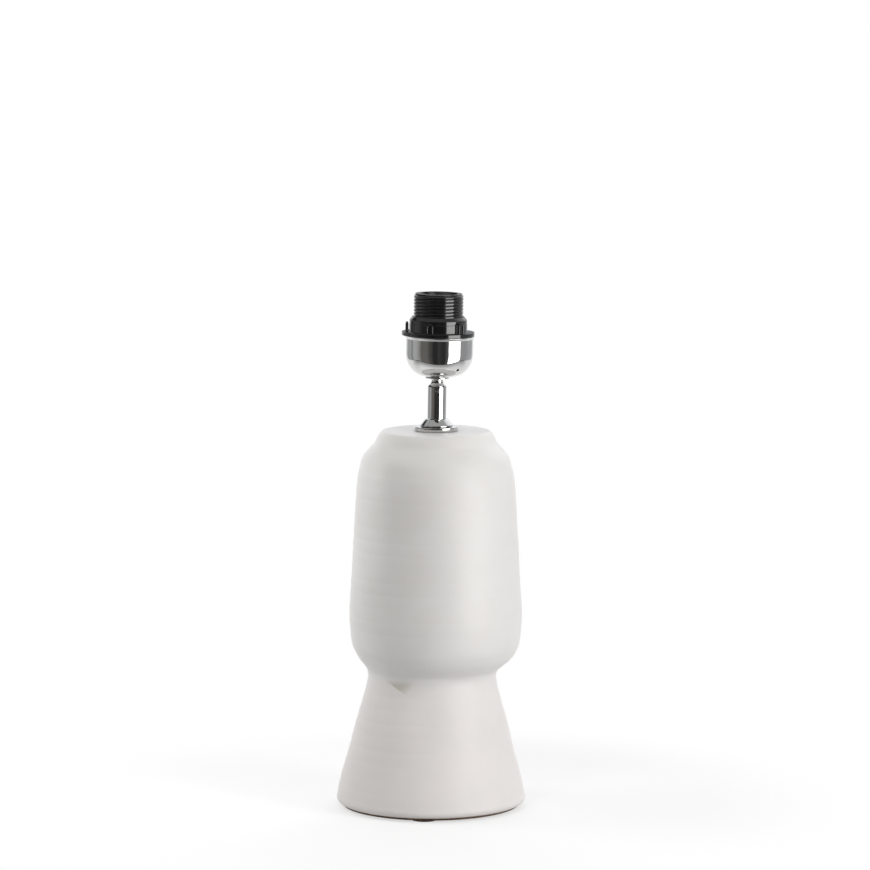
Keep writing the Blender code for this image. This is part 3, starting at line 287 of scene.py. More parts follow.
def makeMouldedBlack():
    look = Values(colour=(0.0078, 0.0072, 0.0082), worn=(0.0115, 0.0108, 0.0122),
        roughness=(0.07, 0.11), depth=0.0000010, topRoughness=0.50)
    mat, tree, shader = startMaterial("mouldedBlackPlastic", 0.12, IOR=1.62)
    uneven = useGroup(tree, mottle, {"Cloud Size": 0.006, "Tooth Size": 0.0009, "Seed": 7.0})
    tree.links.new(blendColours(tree, remap(tree, uneven["Cloud"], 0.4, 0.7), look.colour, look.worn),
        shader.inputs["Base Color"])
    low, high = look.roughness
    # level tops are matt, the rest is glossy
    facing = addNode(tree, "ShaderNodeTexCoord").outputs["Normal"]
    up = splitAxes(tree, facing)["Z"]
    smooth = remap(tree, uneven["Cloud"], 0.3, 0.7, low, high)
    rougher = times(tree, remap(tree, up, 0.85, 0.97), minus(tree, look.topRoughness, smooth))
    tree.links.new(plus(tree, smooth, rougher), shader.inputs["Roughness"])
    bump(tree, shader, uneven["Tooth"], look.depth)
    return mat


def makeCork():
    look = Values(dark=(0.085, 0.052, 0.034), light=(0.24, 0.155, 0.10), grain=0.0013, depth=0.00025)
    mat, tree, shader = startMaterial("pressedCork", 0.9)
    place = objectSpace(tree)
    grains = addNode(tree, "ShaderNodeTexVoronoi", {"Vector": place, "Scale": 1.0 / look.grain})
    tone = splitAxes(tree, grains.outputs["Color"])["X"]
    tree.links.new(blendColours(tree, tone, look.dark, look.light), shader.inputs["Base Color"])
    uneven = useGroup(tree, mottle, {"Cloud Size": 0.01, "Tooth Size": 0.0004, "Seed": 11.0})
    tree.links.new(remap(tree, uneven["Tooth"], 0.2, 0.8, 0.82, 0.98), shader.inputs["Roughness"])
    bump(tree, shader, minus(tree, uneven["Tooth"], grains.outputs["Distance"]), look.depth)
    return mat


def makeWorn(name, base, metallic, colour, dull, patches, roughness, cloud, tooth, depth, seed):
    # patches of a duller tone, and a fine tooth in roughness and relief
    mat, tree, shader = startMaterial(name, base, metallic)
    uneven = useGroup(tree, mottle, {"Cloud Size": cloud, "Tooth Size": tooth, "Seed": seed})
    tone = blendColours(tree, remap(tree, uneven["Cloud"], *patches), colour, dull)
    tree.links.new(tone, shader.inputs["Base Color"])
    tree.links.new(remap(tree, uneven["Tooth"], 0.3, 0.7, *roughness), shader.inputs["Roughness"])
    bump(tree, shader, uneven["Tooth"], depth)
    return mat


metalPatches = (0.38, 0.66)
finish = {
    "ceramic_white": makeStoneware(),
    "chrome": makeChrome(),
    "black_plastic": makeMouldedBlack(),
    "brown_pad": makeCork(),
    "black_rubber": makeWorn("blackRubber", 0.75, 0.0, (0.014, 0.014, 0.015), (0.045, 0.044, 0.042),
        (0.45, 0.8), (0.62, 0.85), 0.005, 0.0005, 0.00005, 13.0),
    "zinc_steel": makeWorn("zincPlatedSteel", 0.26, 1.0, (0.60, 0.61, 0.62), (0.46, 0.47, 0.47),
        metalPatches, (0.26, 0.42), 0.003, 0.0004, 0.00003, 23.0),
    "brass": makeWorn("turnedBrass", 0.20, 1.0, (0.76, 0.58, 0.30), (0.60, 0.43, 0.20),
        metalPatches, (0.20, 0.36), 0.005, 0.0003, 0.00002, 29.0),
    "spring_bronze": makeWorn("springBronze", 0.18, 1.0, (0.74, 0.53, 0.35), (0.58, 0.38, 0.23),
        metalPatches, (0.18, 0.32), 0.004, 0.0003, 0.00002, 31.0),
    "white_insulator": makeWorn("pressedInsulator", 0.5, 0.0, (0.76, 0.74, 0.69), (0.66, 0.62, 0.55),
        (0.4, 0.75), (0.42, 0.62), 0.006, 0.0004, 0.00006, 19.0),
}
print("finishes made,", len(finish))


# Shaping helpers

def roundedOutline(corners, steps=4):
    # corners are (radius, height, fillet)
    points = []
    for k, (r, z, fillet) in enumerate(corners):
        here = Vector((r, z))
        if fillet <= 0.0:
            points.append((r, z))
            continue
        before = Vector(corners[k - 1][:2]) - here
        after = Vector(corners[(k + 1) % len(corners)][:2]) - here
        half = before.angle(after) / 2.0
        reach = min(fillet / math.tan(half), before.length / 2.0, after.length / 2.0)
        radius = reach * math.tan(half)
        centre = here + (before.normalized() + after.normalized()).normalized() * (radius / math.sin(half))
        start = here + before.normalized() * reach - centre
        turn = start.angle_signed(here + after.normalized() * reach - centre)
        for n in range(steps + 1):
            arm = Matrix.Rotation(-turn * n / steps, 2) @ start
            points.append((centre.x + arm.x, centre.y + arm.y))
    return points


def smoothLine(points, perSpan):
    # a curve through the points, evenly split between each two of them
    line = []
    last = len(points) - 1
    for k in range(last):
        a, b, c, d = (Vector(points[min(max(n, 0), last)]) for n in (k - 1, k, k + 1, k + 2))
        span = max((c - b).length, 1e-9)
        inTangent = (c - a) / max((b - a).length + span, 1e-9) * span if k > 0 else c - b
        outTangent = (d - b) / max((d - c).length + span, 1e-9) * span if k < last - 1 else c - b
        for n in range(perSpan):
            t = n / perSpan
            point = (b * (2 * t**3 - 3 * t**2 + 1) + inTangent * (t**3 - 2 * t**2 + t)
                + c * (3 * t**2 - 2 * t**3) + outTangent * (t**3 - t**2))
            line.append(tuple(point))
    line.append(tuple(points[-1]))
    return line


def turn(outline, segments, closed=True):
    # a skin turned from (radius, height) points
    bm = bmesh.new()
    rings = []
    for r, z in outline:
        if r <= 0.0:
            rings.append([bm.verts.new((0.0, 0.0, z))])
        else:
            rings.append([bm.verts.new((r * math.cos(2 * math.pi * k / segments),
                r * math.sin(2 * math.pi * k / segments), z)) for k in range(segments)])
    pairs = list(zip(rings, rings[1:])) + ([(rings[-1], rings[0])] if closed else [])
    for low, high in pairs:
        for k in range(max(len(low), len(high))):
            n = (k + 1) % max(len(low), len(high))
            corners = [low[k % len(low)], low[n % len(low)], high[n % len(high)], high[k % len(high)]]
            corners = [v for i, v in enumerate(corners) if v not in corners[:i]]
            if len(corners) > 2:
                bm.faces.new(corners)
    return bm


def sweepFlat(path, halfAcross, halfWide, corner):
    # a bar with rounded edges along a path of (x, z) points, its width along y
    across, wide = halfAcross - corner, halfWide - corner
    cornerSteps = 4
    section = []
    for su, sv, first in ((1, 1, 0), (-1, 1, 90), (-1, -1, 180), (1, -1, 270)):
        for n in range(cornerSteps + 1):
            angle = math.radians(first + 90.0 / cornerSteps * n)
            section.append((su * across + corner * math.cos(angle), sv * wide + corner * math.sin(angle)))
    bm = bmesh.new()
    rings = []
    for k, point in enumerate(path):
        along = (Vector(path[min(k + 1, len(path) - 1)]) - Vector(path[max(k - 1, 0)])).normalized()
        side = Vector((along.y, -along.x))
        rings.append([bm.verts.new((point[0] + side.x * u, v, point[1] + side.y * u)) for u, v in section])
    count = len(section)
    for low, high in zip(rings, rings[1:]):
        for k in range(count):
            bm.faces.new([low[k], low[(k + 1) % count], high[(k + 1) % count], high[k]])
    bm.faces.new(rings[0])
    bm.faces.new(rings[-1])
    return bm


def makeObject(name, bm, place=asMade):
    mesh = bpy.data.meshes.new(name)
    bm.to_mesh(mesh)
    bm.free()
    mesh.transform(place)
    piece = bpy.data.objects.new(name, mesh)
    bpy.context.scene.collection.objects.link(piece)
    return piece


def bakeModifiers(piece):
    bpy.context.view_layer.update()
    graph = bpy.context.evaluated_depsgraph_get()
    mesh = bpy.data.meshes.new_from_object(piece.evaluated_get(graph))
    piece.modifiers.clear()
    piece.data = mesh


def cutAway(piece, cutter):
    cutter.hide_render = True
    cut = piece.modifiers.new("cut", "BOOLEAN")
    cut.operation = "DIFFERENCE"
    cut.solver = "EXACT"
    cut.object = cutter
    bakeModifiers(piece)
    bpy.data.objects.remove(cutter, do_unlink=True)


def finishPiece(piece, slotName, body, replaced, sharpAngle=32.0):
    mesh = piece.data
    bm = bmesh.new()
    bm.from_mesh(mesh)
    bmesh.ops.remove_doubles(bm, verts=bm.verts, dist=0.000001)
    bmesh.ops.recalc_face_normals(bm, faces=bm.faces)
    bm.to_mesh(mesh)
    bm.free()
    mesh.materials.clear()
    mesh.materials.append(finish[slotName])
    for face in mesh.polygons:
        face.material_index = 0
    mesh.shade_smooth()
    mesh.set_sharp_from_angle(angle=math.radians(sharpAngle))
    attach(piece, body)
    if replaced:
        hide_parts(*replaced)


def rod(radius, start, end, segments=48):
    start, end = Vector(start), Vector(end)
    bm = bmesh.new()
    aim = (end - start).to_track_quat("Z", "Y").to_matrix().to_4x4()
    bmesh.ops.create_cone(bm, cap_ends=True, segments=segments, radius1=radius, radius2=radius,
        depth=(end - start).length, matrix=Matrix.Translation((start + end) / 2.0) @ aim)
    return bm


# Geometry node trees

def startTree(name, inputs):
    tree = bpy.data.node_groups.new(name, "GeometryNodeTree")
    tree.interface.new_socket("Geometry", in_out="INPUT", socket_type="NodeSocketGeometry")
    kinds = {int: "NodeSocketInt", float: "NodeSocketFloat", type(None): "NodeSocketMaterial"}
    for label, value in inputs:
        socket = tree.interface.new_socket(label, in_out="INPUT", socket_type=kinds[type(value)])
        if value is not None:
            socket.default_value = value
    tree.interface.new_socket("Geometry", in_out="OUTPUT", socket_type="NodeSocketGeometry")
    start = tree.nodes.new("NodeGroupInput")
    return tree, start.outputs


def endTree(tree, geometry, material):
    real = addNode(tree, "GeometryNodeRealizeInstances", {"Geometry": geometry}).outputs[0]
    dressed = addNode(tree, "GeometryNodeSetMaterial", {"Geometry": real, "Material": material}).outputs[0]
    end = tree.nodes.new("NodeGroupOutput")
    tree.links.new(dressed, end.inputs[0])


def useTree(piece, tree, values):
    modifier = piece.modifiers.new(tree.name, "NODES")
    modifier.node_group = tree
    for item in tree.interface.items_tree:
        if item.in_out == "INPUT" and item.name in values:
            modifier[item.identifier] = values[item.name]
    bakeModifiers(piece)


def buildThrowingTree():
    # ridges and soft dents that the potter's fingers left on the outside of the wall
    tree, given = startTree("throwingRings", [
        ("Ring Spacing", 0.0108), ("Ring Depth", 0.0005), ("Wander", 0.004), ("Dent Depth", 0.0006),
        ("Dent Size", 0.03), ("Calm Side Share", 0.4), ("Half Width", 0.07), ("Seed", 4.0), ("Material", None)])
    place = addNode(tree, "GeometryNodeInputPosition").outputs[0]
    axes = splitAxes(tree, place)
    around = addNode(tree, "ShaderNodeCombineXYZ", {"X": axes["X"], "Y": axes["Y"],
        "Z": times(tree, axes["Z"], 0.5)}).outputs[0]
    slow = addNode(tree, "ShaderNodeTexNoise", {"Vector": around, "W": given["Seed"], "Scale": 11.0,
        "Detail": 1.0}, noise_dimensions="4D").outputs[0]
    drift = times(tree, minus(tree, slow, 0.5), given["Wander"])
    height = plus(tree, axes["Z"], drift)
    rings = calc(tree, "DIVIDE", height, given["Ring Spacing"])
    scallop = calc(tree, "ABSOLUTE", calc(tree, "SINE", times(tree, rings, math.pi)))
    scallop = minus(tree, calc(tree, "POWER", scallop, 0.8), 0.66)
    strength = addNode(tree, "ShaderNodeTexNoise", {
        "W": plus(tree, times(tree, rings, 0.55), given["Seed"]), "Scale": 1.0, "Detail": 1.0},
        noise_dimensions="1D").outputs[0]
    calm = addNode(tree, "ShaderNodeMapRange", {
        "Value": axes["X"], "From Min": times(tree, given["Half Width"], -0.8),
        "From Max": times(tree, given["Half Width"], 0.3), "To Min": 1.0,
        "To Max": given["Calm Side Share"]}).outputs["Result"]
    ridge = times(tree, times(tree, scallop, given["Ring Depth"]), times(tree,
        remap(tree, strength, 0.3, 0.7, 0.35, 1.5), calm))
    dents = addNode(tree, "ShaderNodeTexNoise", {
        "Vector": place, "W": given["Seed"], "Scale": calc(tree, "DIVIDE", 1.0, given["Dent Size"]),
        "Detail": 0.0}, noise_dimensions="4D").outputs[0]
    dent = times(tree, minus(tree, dents, 0.5), given["Dent Depth"])
    mask = addNode(tree, "GeometryNodeInputNamedAttribute", {"Name": "thrown"}, data_type="FLOAT").outputs[0]
    push = times(tree, plus(tree, ridge, dent), mask)
    outward = addNode(tree, "GeometryNodeInputNormal").outputs[0]
    move = addNode(tree, "ShaderNodeVectorMath", operation="SCALE")
    feed(tree, move.inputs[0], outward)
    feed(tree, move.inputs["Scale"], push)
    moved = addNode(tree, "GeometryNodeSetPosition", {"Geometry": given["Geometry"], "Offset": move.outputs[0]})
    endTree(tree, moved.outputs[0], given["Material"])
    return tree


def buildThreadTree():
    # adds a right-handed threaded band that dies out to the root at both ends
    tree, given = startTree("threadedBand", [
        ("Facets", 96), ("Rows", 120), ("Low", 0.0), ("High", 0.03), ("Pitch", 0.003), ("Root Radius", 0.019),
        ("Crest Radius", 0.02), ("Run Out", 0.001), ("Start", 0.0), ("Root Share", 0.0),
        ("Crest Share", 0.4), ("Sharp Root", 0.0), ("Material", None)])
    columns = plus(tree, given["Facets"], 1.0)
    grid = addNode(tree, "GeometryNodeMeshGrid", {"Size X": 1.0, "Size Y": 1.0, "Vertices X": columns,
        "Vertices Y": given["Rows"]}).outputs["Mesh"]
    axes = splitAxes(tree, addNode(tree, "GeometryNodeInputPosition").outputs[0])
    turns = plus(tree, axes["X"], 0.5)
    length = minus(tree, given["High"], given["Low"])
    rise = times(tree, plus(tree, axes["Y"], 0.5), length)
    phase = minus(tree, calc(tree, "DIVIDE", rise, given["Pitch"]), plus(tree, turns, given["Start"]))
    # 0 at the root and 1 at the crest
    wave = times(tree, calc(tree, "PINGPONG", phase, 0.5), 2.0)
    flank = addNode(tree, "ShaderNodeMapRange", {
        "Value": wave, "From Min": given["Root Share"], "From Max": minus(tree, 1.0, given["Crest Share"])})
    flank = flank.outputs["Result"]
    smooth = remap(tree, flank, 0.0, 1.0)
    pointed = times(tree, flank, minus(tree, 2.0, flank))
    crest = plus(tree, smooth, times(tree, given["Sharp Root"], minus(tree, pointed, smooth)))
    fromEnd = calc(tree, "MINIMUM", rise, minus(tree, length, rise))
    fade = calc(tree, "DIVIDE", fromEnd, given["Run Out"], clamp=True)
    depth = minus(tree, given["Crest Radius"], given["Root Radius"])
    radius = plus(tree, given["Root Radius"], times(tree, depth, times(tree, crest, fade)))
    angle = times(tree, turns, 2.0 * math.pi)
    spot = addNode(tree, "ShaderNodeCombineXYZ", {
        "X": times(tree, radius, calc(tree, "COSINE", angle)),
        "Y": times(tree, radius, calc(tree, "SINE", angle)),
        "Z": plus(tree, rise, given["Low"])}).outputs[0]
    band = addNode(tree, "GeometryNodeSetPosition", {"Geometry": grid, "Position": spot}).outputs[0]
    joined = tree.nodes.new("GeometryNodeJoinGeometry")
    tree.links.new(band, joined.inputs[0])
    tree.links.new(given["Geometry"], joined.inputs[0])
    welded = addNode(tree, "GeometryNodeMergeByDistance", {"Geometry": joined.outputs[0], "Distance": 0.000002})
    endTree(tree, welded.outputs[0], given["Material"])
    return tree


def buildRoundTree():
    # repeats a shape, drawn at the front, at even steps round the upright axis
    tree, given = startTree("evenlyRound", [("Count", 6), ("Radius", 0.02), ("First Angle", 0.0), ("Step", 1.0),
        ("Material", None)])
    index = addNode(tree, "GeometryNodeInputIndex").outputs[0]
    angle = plus(tree, given["First Angle"], times(tree, index, given["Step"]))
    spot = addNode(tree, "ShaderNodeCombineXYZ", {
        "X": times(tree, calc(tree, "SINE", angle), given["Radius"]),
        "Y": times(tree, times(tree, calc(tree, "COSINE", angle), given["Radius"]), -1.0),
        "Z": 0.0}).outputs[0]
    points = addNode(tree, "GeometryNodePoints", {"Count": given["Count"], "Position": spot}).outputs[0]
    facing = addNode(tree, "ShaderNodeCombineXYZ", {"X": 0.0, "Y": 0.0, "Z": angle}).outputs[0]
    copies = addNode(tree, "GeometryNodeInstanceOnPoints", {
        "Points": points, "Instance": given["Geometry"], "Rotation": facing}).outputs[0]
    endTree(tree, copies, given["Material"])
    return tree


throwingTree = buildThrowingTree()
threadTree = buildThreadTree()
roundTree = buildRoundTree()
print("node trees built")


# Ceramic body
# Its outline is given as shares of the rise and of the change in radius between its main lines.
body = Values(
    footRadius=0.0775, footRimHeight=0.0084, footEdge=0.0045, footUnderside=0.0032,
    waistRadius=0.0530, waistHeight=0.1090, bellyRadius=0.0710, bellyHeight=0.1590,
    topRadius=0.0446, topHeight=0.3115, topEdge=0.0016, wall=0.0065, lid=0.0070,
    rebateRadius=0.0675, ledgeHeight=0.0200, ledgeRadius=0.0620, topHole=0.0064,
    driftAtWaist=0.0010, drift=0.0041, driftRunShare=0.35,
    coneShares=[(0.07, 0.035), (0.18, 0.145), (0.38, 0.370), (0.60, 0.600), (0.82, 0.850), (1.0, 1.0)],
    hipShares=[(0.20, 0.028), (0.38, 0.072), (0.52, 0.160), (0.63, 0.305), (0.73, 0.500), (0.82, 0.745),
                  (0.90, 0.940), (1.0, 1.0)],
    shoulderShares=[(0.20, 0.060), (0.42, 0.128), (0.63, 0.205), (0.75, 0.270), (0.815, 0.345),
                       (0.865, 0.445), (0.91, 0.660), (0.935, 0.785), (0.968, 0.890), (1.0, 1.0)],
    segments=240, rowHeight=0.00115, edgeSteps=8, hollowEvery=14, lidShares=(0.8, 0.6, 0.4),
    # rows over which the throwing marks die out above the foot and below the rim
    calmRowsLow=14.0, calmRowsHigh=10.0,
    outletHeight=0.0112, outletRadius=0.0045, grommetSeat=0.0065, grommetFloor=0.0755,
    outletInset=0.002, outletOverrun=0.004)
throwing = {"Ring Spacing": 0.0108, "Ring Depth": 0.00020, "Wander": 0.006, "Dent Depth": 0.0016,
    "Dent Size": 0.045, "Calm Side Share": 0.35, "Seed": 4.0}


def bodyOutline():
    def between(shares, low, high, height, span):
        return [(low + (high - low) * r, height + span * h) for h, r in shares]

    b = body
    cone = between(b.coneShares, b.waistRadius, b.footRadius, b.waistHeight, b.footRimHeight - b.waistHeight)
    hip = between(b.hipShares, b.bellyRadius, b.waistRadius, b.bellyHeight, b.waistHeight - b.bellyHeight)
    top = between(b.shoulderShares, b.bellyRadius, b.topRadius, b.bellyHeight, b.topHeight - b.bellyHeight)
    return cone[::-1] + hip[::-1] + [(b.bellyRadius, b.bellyHeight)] + top


def evenSteps(line, step):
    # the same curve with points about one step apart
    points = [line[0]]
    left = step
    for a, b in zip(line, line[1:]):
        a, b = Vector(a), Vector(b)
        span = (b - a).length
        while span >= left:
            a = a + (b - a) * (left / span)
            span = (b - a).length
            points.append(tuple(a))
            left = step
        left -= span
    points.append(line[-1])
    return points


def bodyDrift(height):
    def ease(share):
        share = min(max(share, 0.0), 1.0)
        return share * share * (3.0 - 2.0 * share)

    run = (body.bellyHeight - body.waistHeight) * body.driftRunShare
    lower = body.driftAtWaist * ease(height / body.waistHeight)
    return lower + (body.drift - body.driftAtWaist) * ease((height - body.waistHeight) / run)


def makeCeramicBody():
    b = body
    curve = smoothLine(bodyOutline(), 12)
    edge = b.footEdge
    centre = (b.footRadius - edge, b.footUnderside + edge)
    foot = []
    for k in range(b.edgeSteps + 1):
        angle = math.pi / 2 * k / b.edgeSteps
        foot.append((centre[0] + edge * math.sin(angle), centre[1] - edge * math.cos(angle)))
    wall = evenSteps(curve, b.rowHeight)
    while (Vector(wall[-1]) - Vector((b.topRadius, b.topHeight))).length < b.topEdge:
        wall.pop()
    rim = smoothLine([wall[-1], (b.topRadius - b.topEdge * 0.35, b.topHeight - b.topEdge * 0.22),
        (b.topRadius - b.topEdge * 1.6, b.topHeight)], 5)[1:]
    outer = foot + wall + rim
    lid = [(b.topRadius * share, b.topHeight) for share in b.lidShares]
    ceiling = b.topHeight - b.lid
    shell = [(min(r - b.wall, b.ledgeRadius), z) for r, z in wall[::b.hollowEvery]]
    hollow = [(r, z) for r, z in shell if b.ledgeHeight + b.wall < z < ceiling - b.wall]
    inside = [(b.topHole, b.topHeight), (b.topHole, ceiling), (hollow[-1][0] - b.wall, ceiling)]
    inside += hollow[::-1] + [(b.ledgeRadius, b.ledgeHeight), (b.rebateRadius, b.ledgeHeight),
        (b.rebateRadius, b.footUnderside)]
    bm = turn(outer + lid + inside, b.segments)
    bm.verts.ensure_lookup_table()
    thrown = []
    for k, vert in enumerate(bm.verts):
        row = k // b.segments
        rowFromTop = len(outer) - row
        low, high = row / b.calmRowsLow, rowFromTop / b.calmRowsHigh
        thrown.append(min(low, 1.0) * min(max(high, 0.0), 1.0) if row < len(outer) else 0.0)
        vert.co.x += bodyDrift(vert.co.z)
    bmesh.ops.recalc_face_normals(bm, faces=bm.faces)
    piece = makeObject("ceramicBody", bm)
    piece.data.attributes.new("thrown", "FLOAT", "POINT").data.foreach_set("value", thrown)
    useTree(piece, throwingTree, {**throwing, "Half Width": b.bellyRadius, "Material": finish["ceramic_white"]})
    far = b.footRadius + b.outletOverrun
    high = b.outletHeight
    for radius, near in ((b.outletRadius, b.ledgeRadius - b.outletInset), (b.grommetSeat, b.grommetFloor)):
        cutAway(piece, makeObject("outletCutter", rod(radius, (0, near, high), (0, far, high))))
    finishPiece(piece, "ceramic_white", "stand", ["ceramic_body"], 40.0)


makeCeramicBody()
print("ceramic body thrown")


# Pad, rubber feet and lead outlet
under = Values(padRadius=0.0728, padLow=0.0015, padHigh=0.0029, padEdge=0.0004,
    footRadius=0.0110, footThickness=0.0012, footEdge=0.0004, footCircle=0.0600, footTurn=-5.0,
    footDish=0.0070, footDishDepth=0.0003, dishSlope=0.0008, padFacets=160, footFacets=64)


def makeUnderside():
    u = under
    pad = makeObject("corkPad", turn(roundedOutline([
        (0.0, u.padLow, 0.0), (u.padRadius, u.padLow, u.padEdge),
        (u.padRadius, u.padHigh, u.padEdge), (0.0, u.padHigh, 0.0)], 3), u.padFacets))
    finishPiece(pad, "brown_pad", "stand", ["base_pad"])
    feet = makeObject("rubberFeet", turn(roundedOutline([
        (0.0, u.footDishDepth, 0.0), (u.footDish - u.dishSlope, u.footDishDepth, 0.0003),
        (u.footDish, 0.0, 0.0003), (u.footRadius, 0.0, u.footEdge),
        (u.footRadius, u.footThickness, u.footEdge / 2.0), (0.0, u.footThickness, 0.0)], 4),
        u.footFacets))
    useTree(feet, roundTree, {"Count": 3, "Radius": u.footCircle, "First Angle": math.radians(u.footTurn),
        "Step": math.radians(120.0), "Material": finish["black_rubber"]})
    finishPiece(feet, "black_rubber", "stand", ["rubber_foot_front", "rubber_foot_right", "rubber_foot_left"])


grommet = Values(bore=0.0035, sleeve=0.0042, flange=0.0062, inner=0.0675, under=0.0758,
    face=0.0772, height=0.0112, facets=64)


def makeGrommet():
    g = grommet
    place = Matrix.Translation((0.0, 0.0, g.height)) @ Matrix.Rotation(math.radians(-90.0), 4, "X")
    bush = makeObject("cableGrommet", turn(roundedOutline([
        (g.bore, g.inner, 0.0002), (g.sleeve, g.inner, 0.0002), (g.sleeve, g.under, 0.0),
        (g.flange, g.under, 0.0002), (g.flange, g.face, 0.0006), (g.bore, g.face, 0.0005)], 5),
        g.facets), place)
    finishPiece(bush, "black_rubber", "stand", ["cable_grommet"])


makeUnderside()
makeGrommet()
print("underside made")


# Chrome: disc, dome, neck tube and cup
disc = Values(radius=0.0180, low=0.0003, high=0.0036, edge=0.0005, recess=0.0140,
    recessTop=0.0018, bore=0.0053, facets=160)
dome = Values(radius=0.0133, topRadius=0.0092, low=0.0039, high=0.0097, brim=0.0048,
    edge=0.0006, bore=0.0053, facets=128)
tube = Values(radius=0.0076, low=0.0100, slopeLow=0.03696, neck=0.0048, slopeHigh=0.03936,
    bossRadius=0.0098, bossLow=0.0430, bossHigh=0.0443, bossEdge=0.0005, stub=0.00495,
    stubTop=0.0595, wireBore=0.0030, pipeBore=0.00525, pipeBoreTop=0.0353, grubHeight=0.0329,
    grubHole=0.0021, grubRadius=0.0019, grubSink=0.0003, slotWidth=0.0006, slotDepth=0.0007,
    slotTurn=20.0, slotLong=0.006, neckFilletShare=0.6, grubBack=0.00515, grubCut=(0.003, 0.010),
    facets=160, grubFacets=48)
cup = Values(radius=0.0275, low=0.0446, high=0.0780, bowl=0.0205, flat=0.0092, fullness=2.15,
    wall=0.0007, rim=0.0023, rimFlare=0.0011, hole=0.0068, shift=0.0014, vent=0.0013,
    ventHeight=0.0072, ventReach=0.0236, ventTurn=39.5, steps=44, facets=192)


def makeDiscAndDome():
    d = disc
    piece = makeObject("flangeDisc", turn(roundedOutline([
        (d.recess, d.low, 0.0), (d.radius, d.low, d.edge), (d.radius, d.high, d.edge),
        (d.bore, d.high, 0.0), (d.bore, d.recessTop, 0.0), (d.recess, d.recessTop, 0.0)], 8),
        d.facets), onSeat)
    finishPiece(piece, "chrome", "stand", ["flange_disc"])
    d = dome
    piece = makeObject("domeCap", turn(roundedOutline([
        (d.bore, d.low, 0.0), (d.radius, d.low, 0.0002), (d.radius, d.brim, d.edge),
        (d.topRadius, d.high, d.edge), (d.bore, d.high, 0.0)], 8), d.facets), onSeat)
    finishPiece(piece, "chrome", "stand", ["dome_cap"])


def makeNeck():
    t = tube
    fillet = t.radius - t.neck
    piece = makeObject("neckTube", turn(roundedOutline([
        (t.pipeBore, t.low, 0.0), (t.radius, t.low, 0.0002), (t.radius, t.slopeLow, fillet),
        (t.neck, t.slopeHigh, fillet), (t.neck, t.bossLow, fillet * t.neckFilletShare),
        (t.bossRadius, t.bossLow, t.bossEdge), (t.bossRadius, t.bossHigh, t.bossEdge),
        (t.stub, t.bossHigh, 0.0), (t.stub, t.stubTop, 0.0004), (t.wireBore, t.stubTop, 0.0),
        (t.wireBore, t.pipeBoreTop, 0.0), (t.pipeBore, t.pipeBoreTop, 0.0)], 10), t.facets),
        onStem)
    at = t.grubHeight
    inside, outside = t.grubCut
    cutAway(piece, makeObject("grubCutter", rod(t.grubHole, (0, -inside, at), (0, -outside, at)), onStem))
    finishPiece(piece, "chrome", "stand", ["neck_tube"])

    face = t.radius - t.grubSink
    screw = makeObject("neckGrubScrew", turn(roundedOutline([
        (0.0, t.grubBack, 0.0), (t.grubRadius, t.grubBack, 0.0), (t.grubRadius, face, 0.0003),
        (0.0, face, 0.0)], 3), t.grubFacets),
        Matrix.Translation((0, 0, at)) @ Matrix.Rotation(math.radians(90.0), 4, "X"))
    slot = bmesh.new()
    place = Matrix.Translation((0, -face, at)) @ Matrix.Rotation(math.radians(-t.slotTurn), 4, "Y")
    bar = Matrix.Diagonal((t.slotWidth, t.slotDepth * 2.0, t.slotLong, 1.0))
    bmesh.ops.create_cube(slot, size=1.0, matrix=place @ bar)
    cutAway(screw, makeObject("slotCutter", slot))
    screw.data.transform(onStem)
    finishPiece(screw, "zinc_steel", "stand", ["neck_grub_screw"])


def makeCup():
    c = cup
    steps = c.steps
    power = 2.0 / c.fullness
    bowl = []
    for k in range(steps + 1):
        t = math.pi / 2.0 * k / steps
        bowl.append((c.flat + (c.radius - c.flat) * math.sin(t) ** power,
            c.low + c.bowl * (1.0 - math.cos(t) ** power)))
    side, rimLow, rimSide = c.low + c.bowl, c.high - c.rim, c.radius + c.rimFlare
    rim = roundedOutline([
        (c.radius, side, 0.0), (c.radius, rimLow, 0.0004), (rimSide, c.high, 0.0003),
        (rimSide - c.wall, c.high, 0.0002), (c.radius - c.wall, rimLow, 0.0004),
        (c.radius - c.wall, side, 0.0)], 5)[1:-1]
    inner = []
    for k in range(len(bowl) - 1, 0, -2):
        along = (Vector(bowl[min(k + 1, steps)]) - Vector(bowl[k - 1])).normalized()
        inner.append((bowl[k][0] - along.y * c.wall, bowl[k][1] + along.x * c.wall))
    floor = c.low + c.wall
    outline = [(c.hole, c.low)] + bowl + rim + inner
    outline += [(c.flat, floor), (c.hole, floor)]
    shift = onStem @ Matrix.Translation((c.shift, 0.0, 0.0))
    piece = makeObject("socketCup", turn(outline, c.facets), shift)
    turnAngle = math.radians(c.ventTurn)
    way = Vector((math.sin(turnAngle), -math.cos(turnAngle), 0.0))
    spot = way * c.ventReach + Vector((0.0, 0.0, c.low + c.ventHeight))
    drill = (way - Vector((0.0, 0.0, 1.0))).normalized() * c.vent * 2.0
    cutAway(piece, makeObject("ventCutter", rod(c.vent, spot - drill, spot + drill), shift))
    finishPiece(piece, "chrome", "stand", ["socket_cup"])


makeDiscAndDome()
makeNeck()
makeCup()
print("chrome pieces turned")


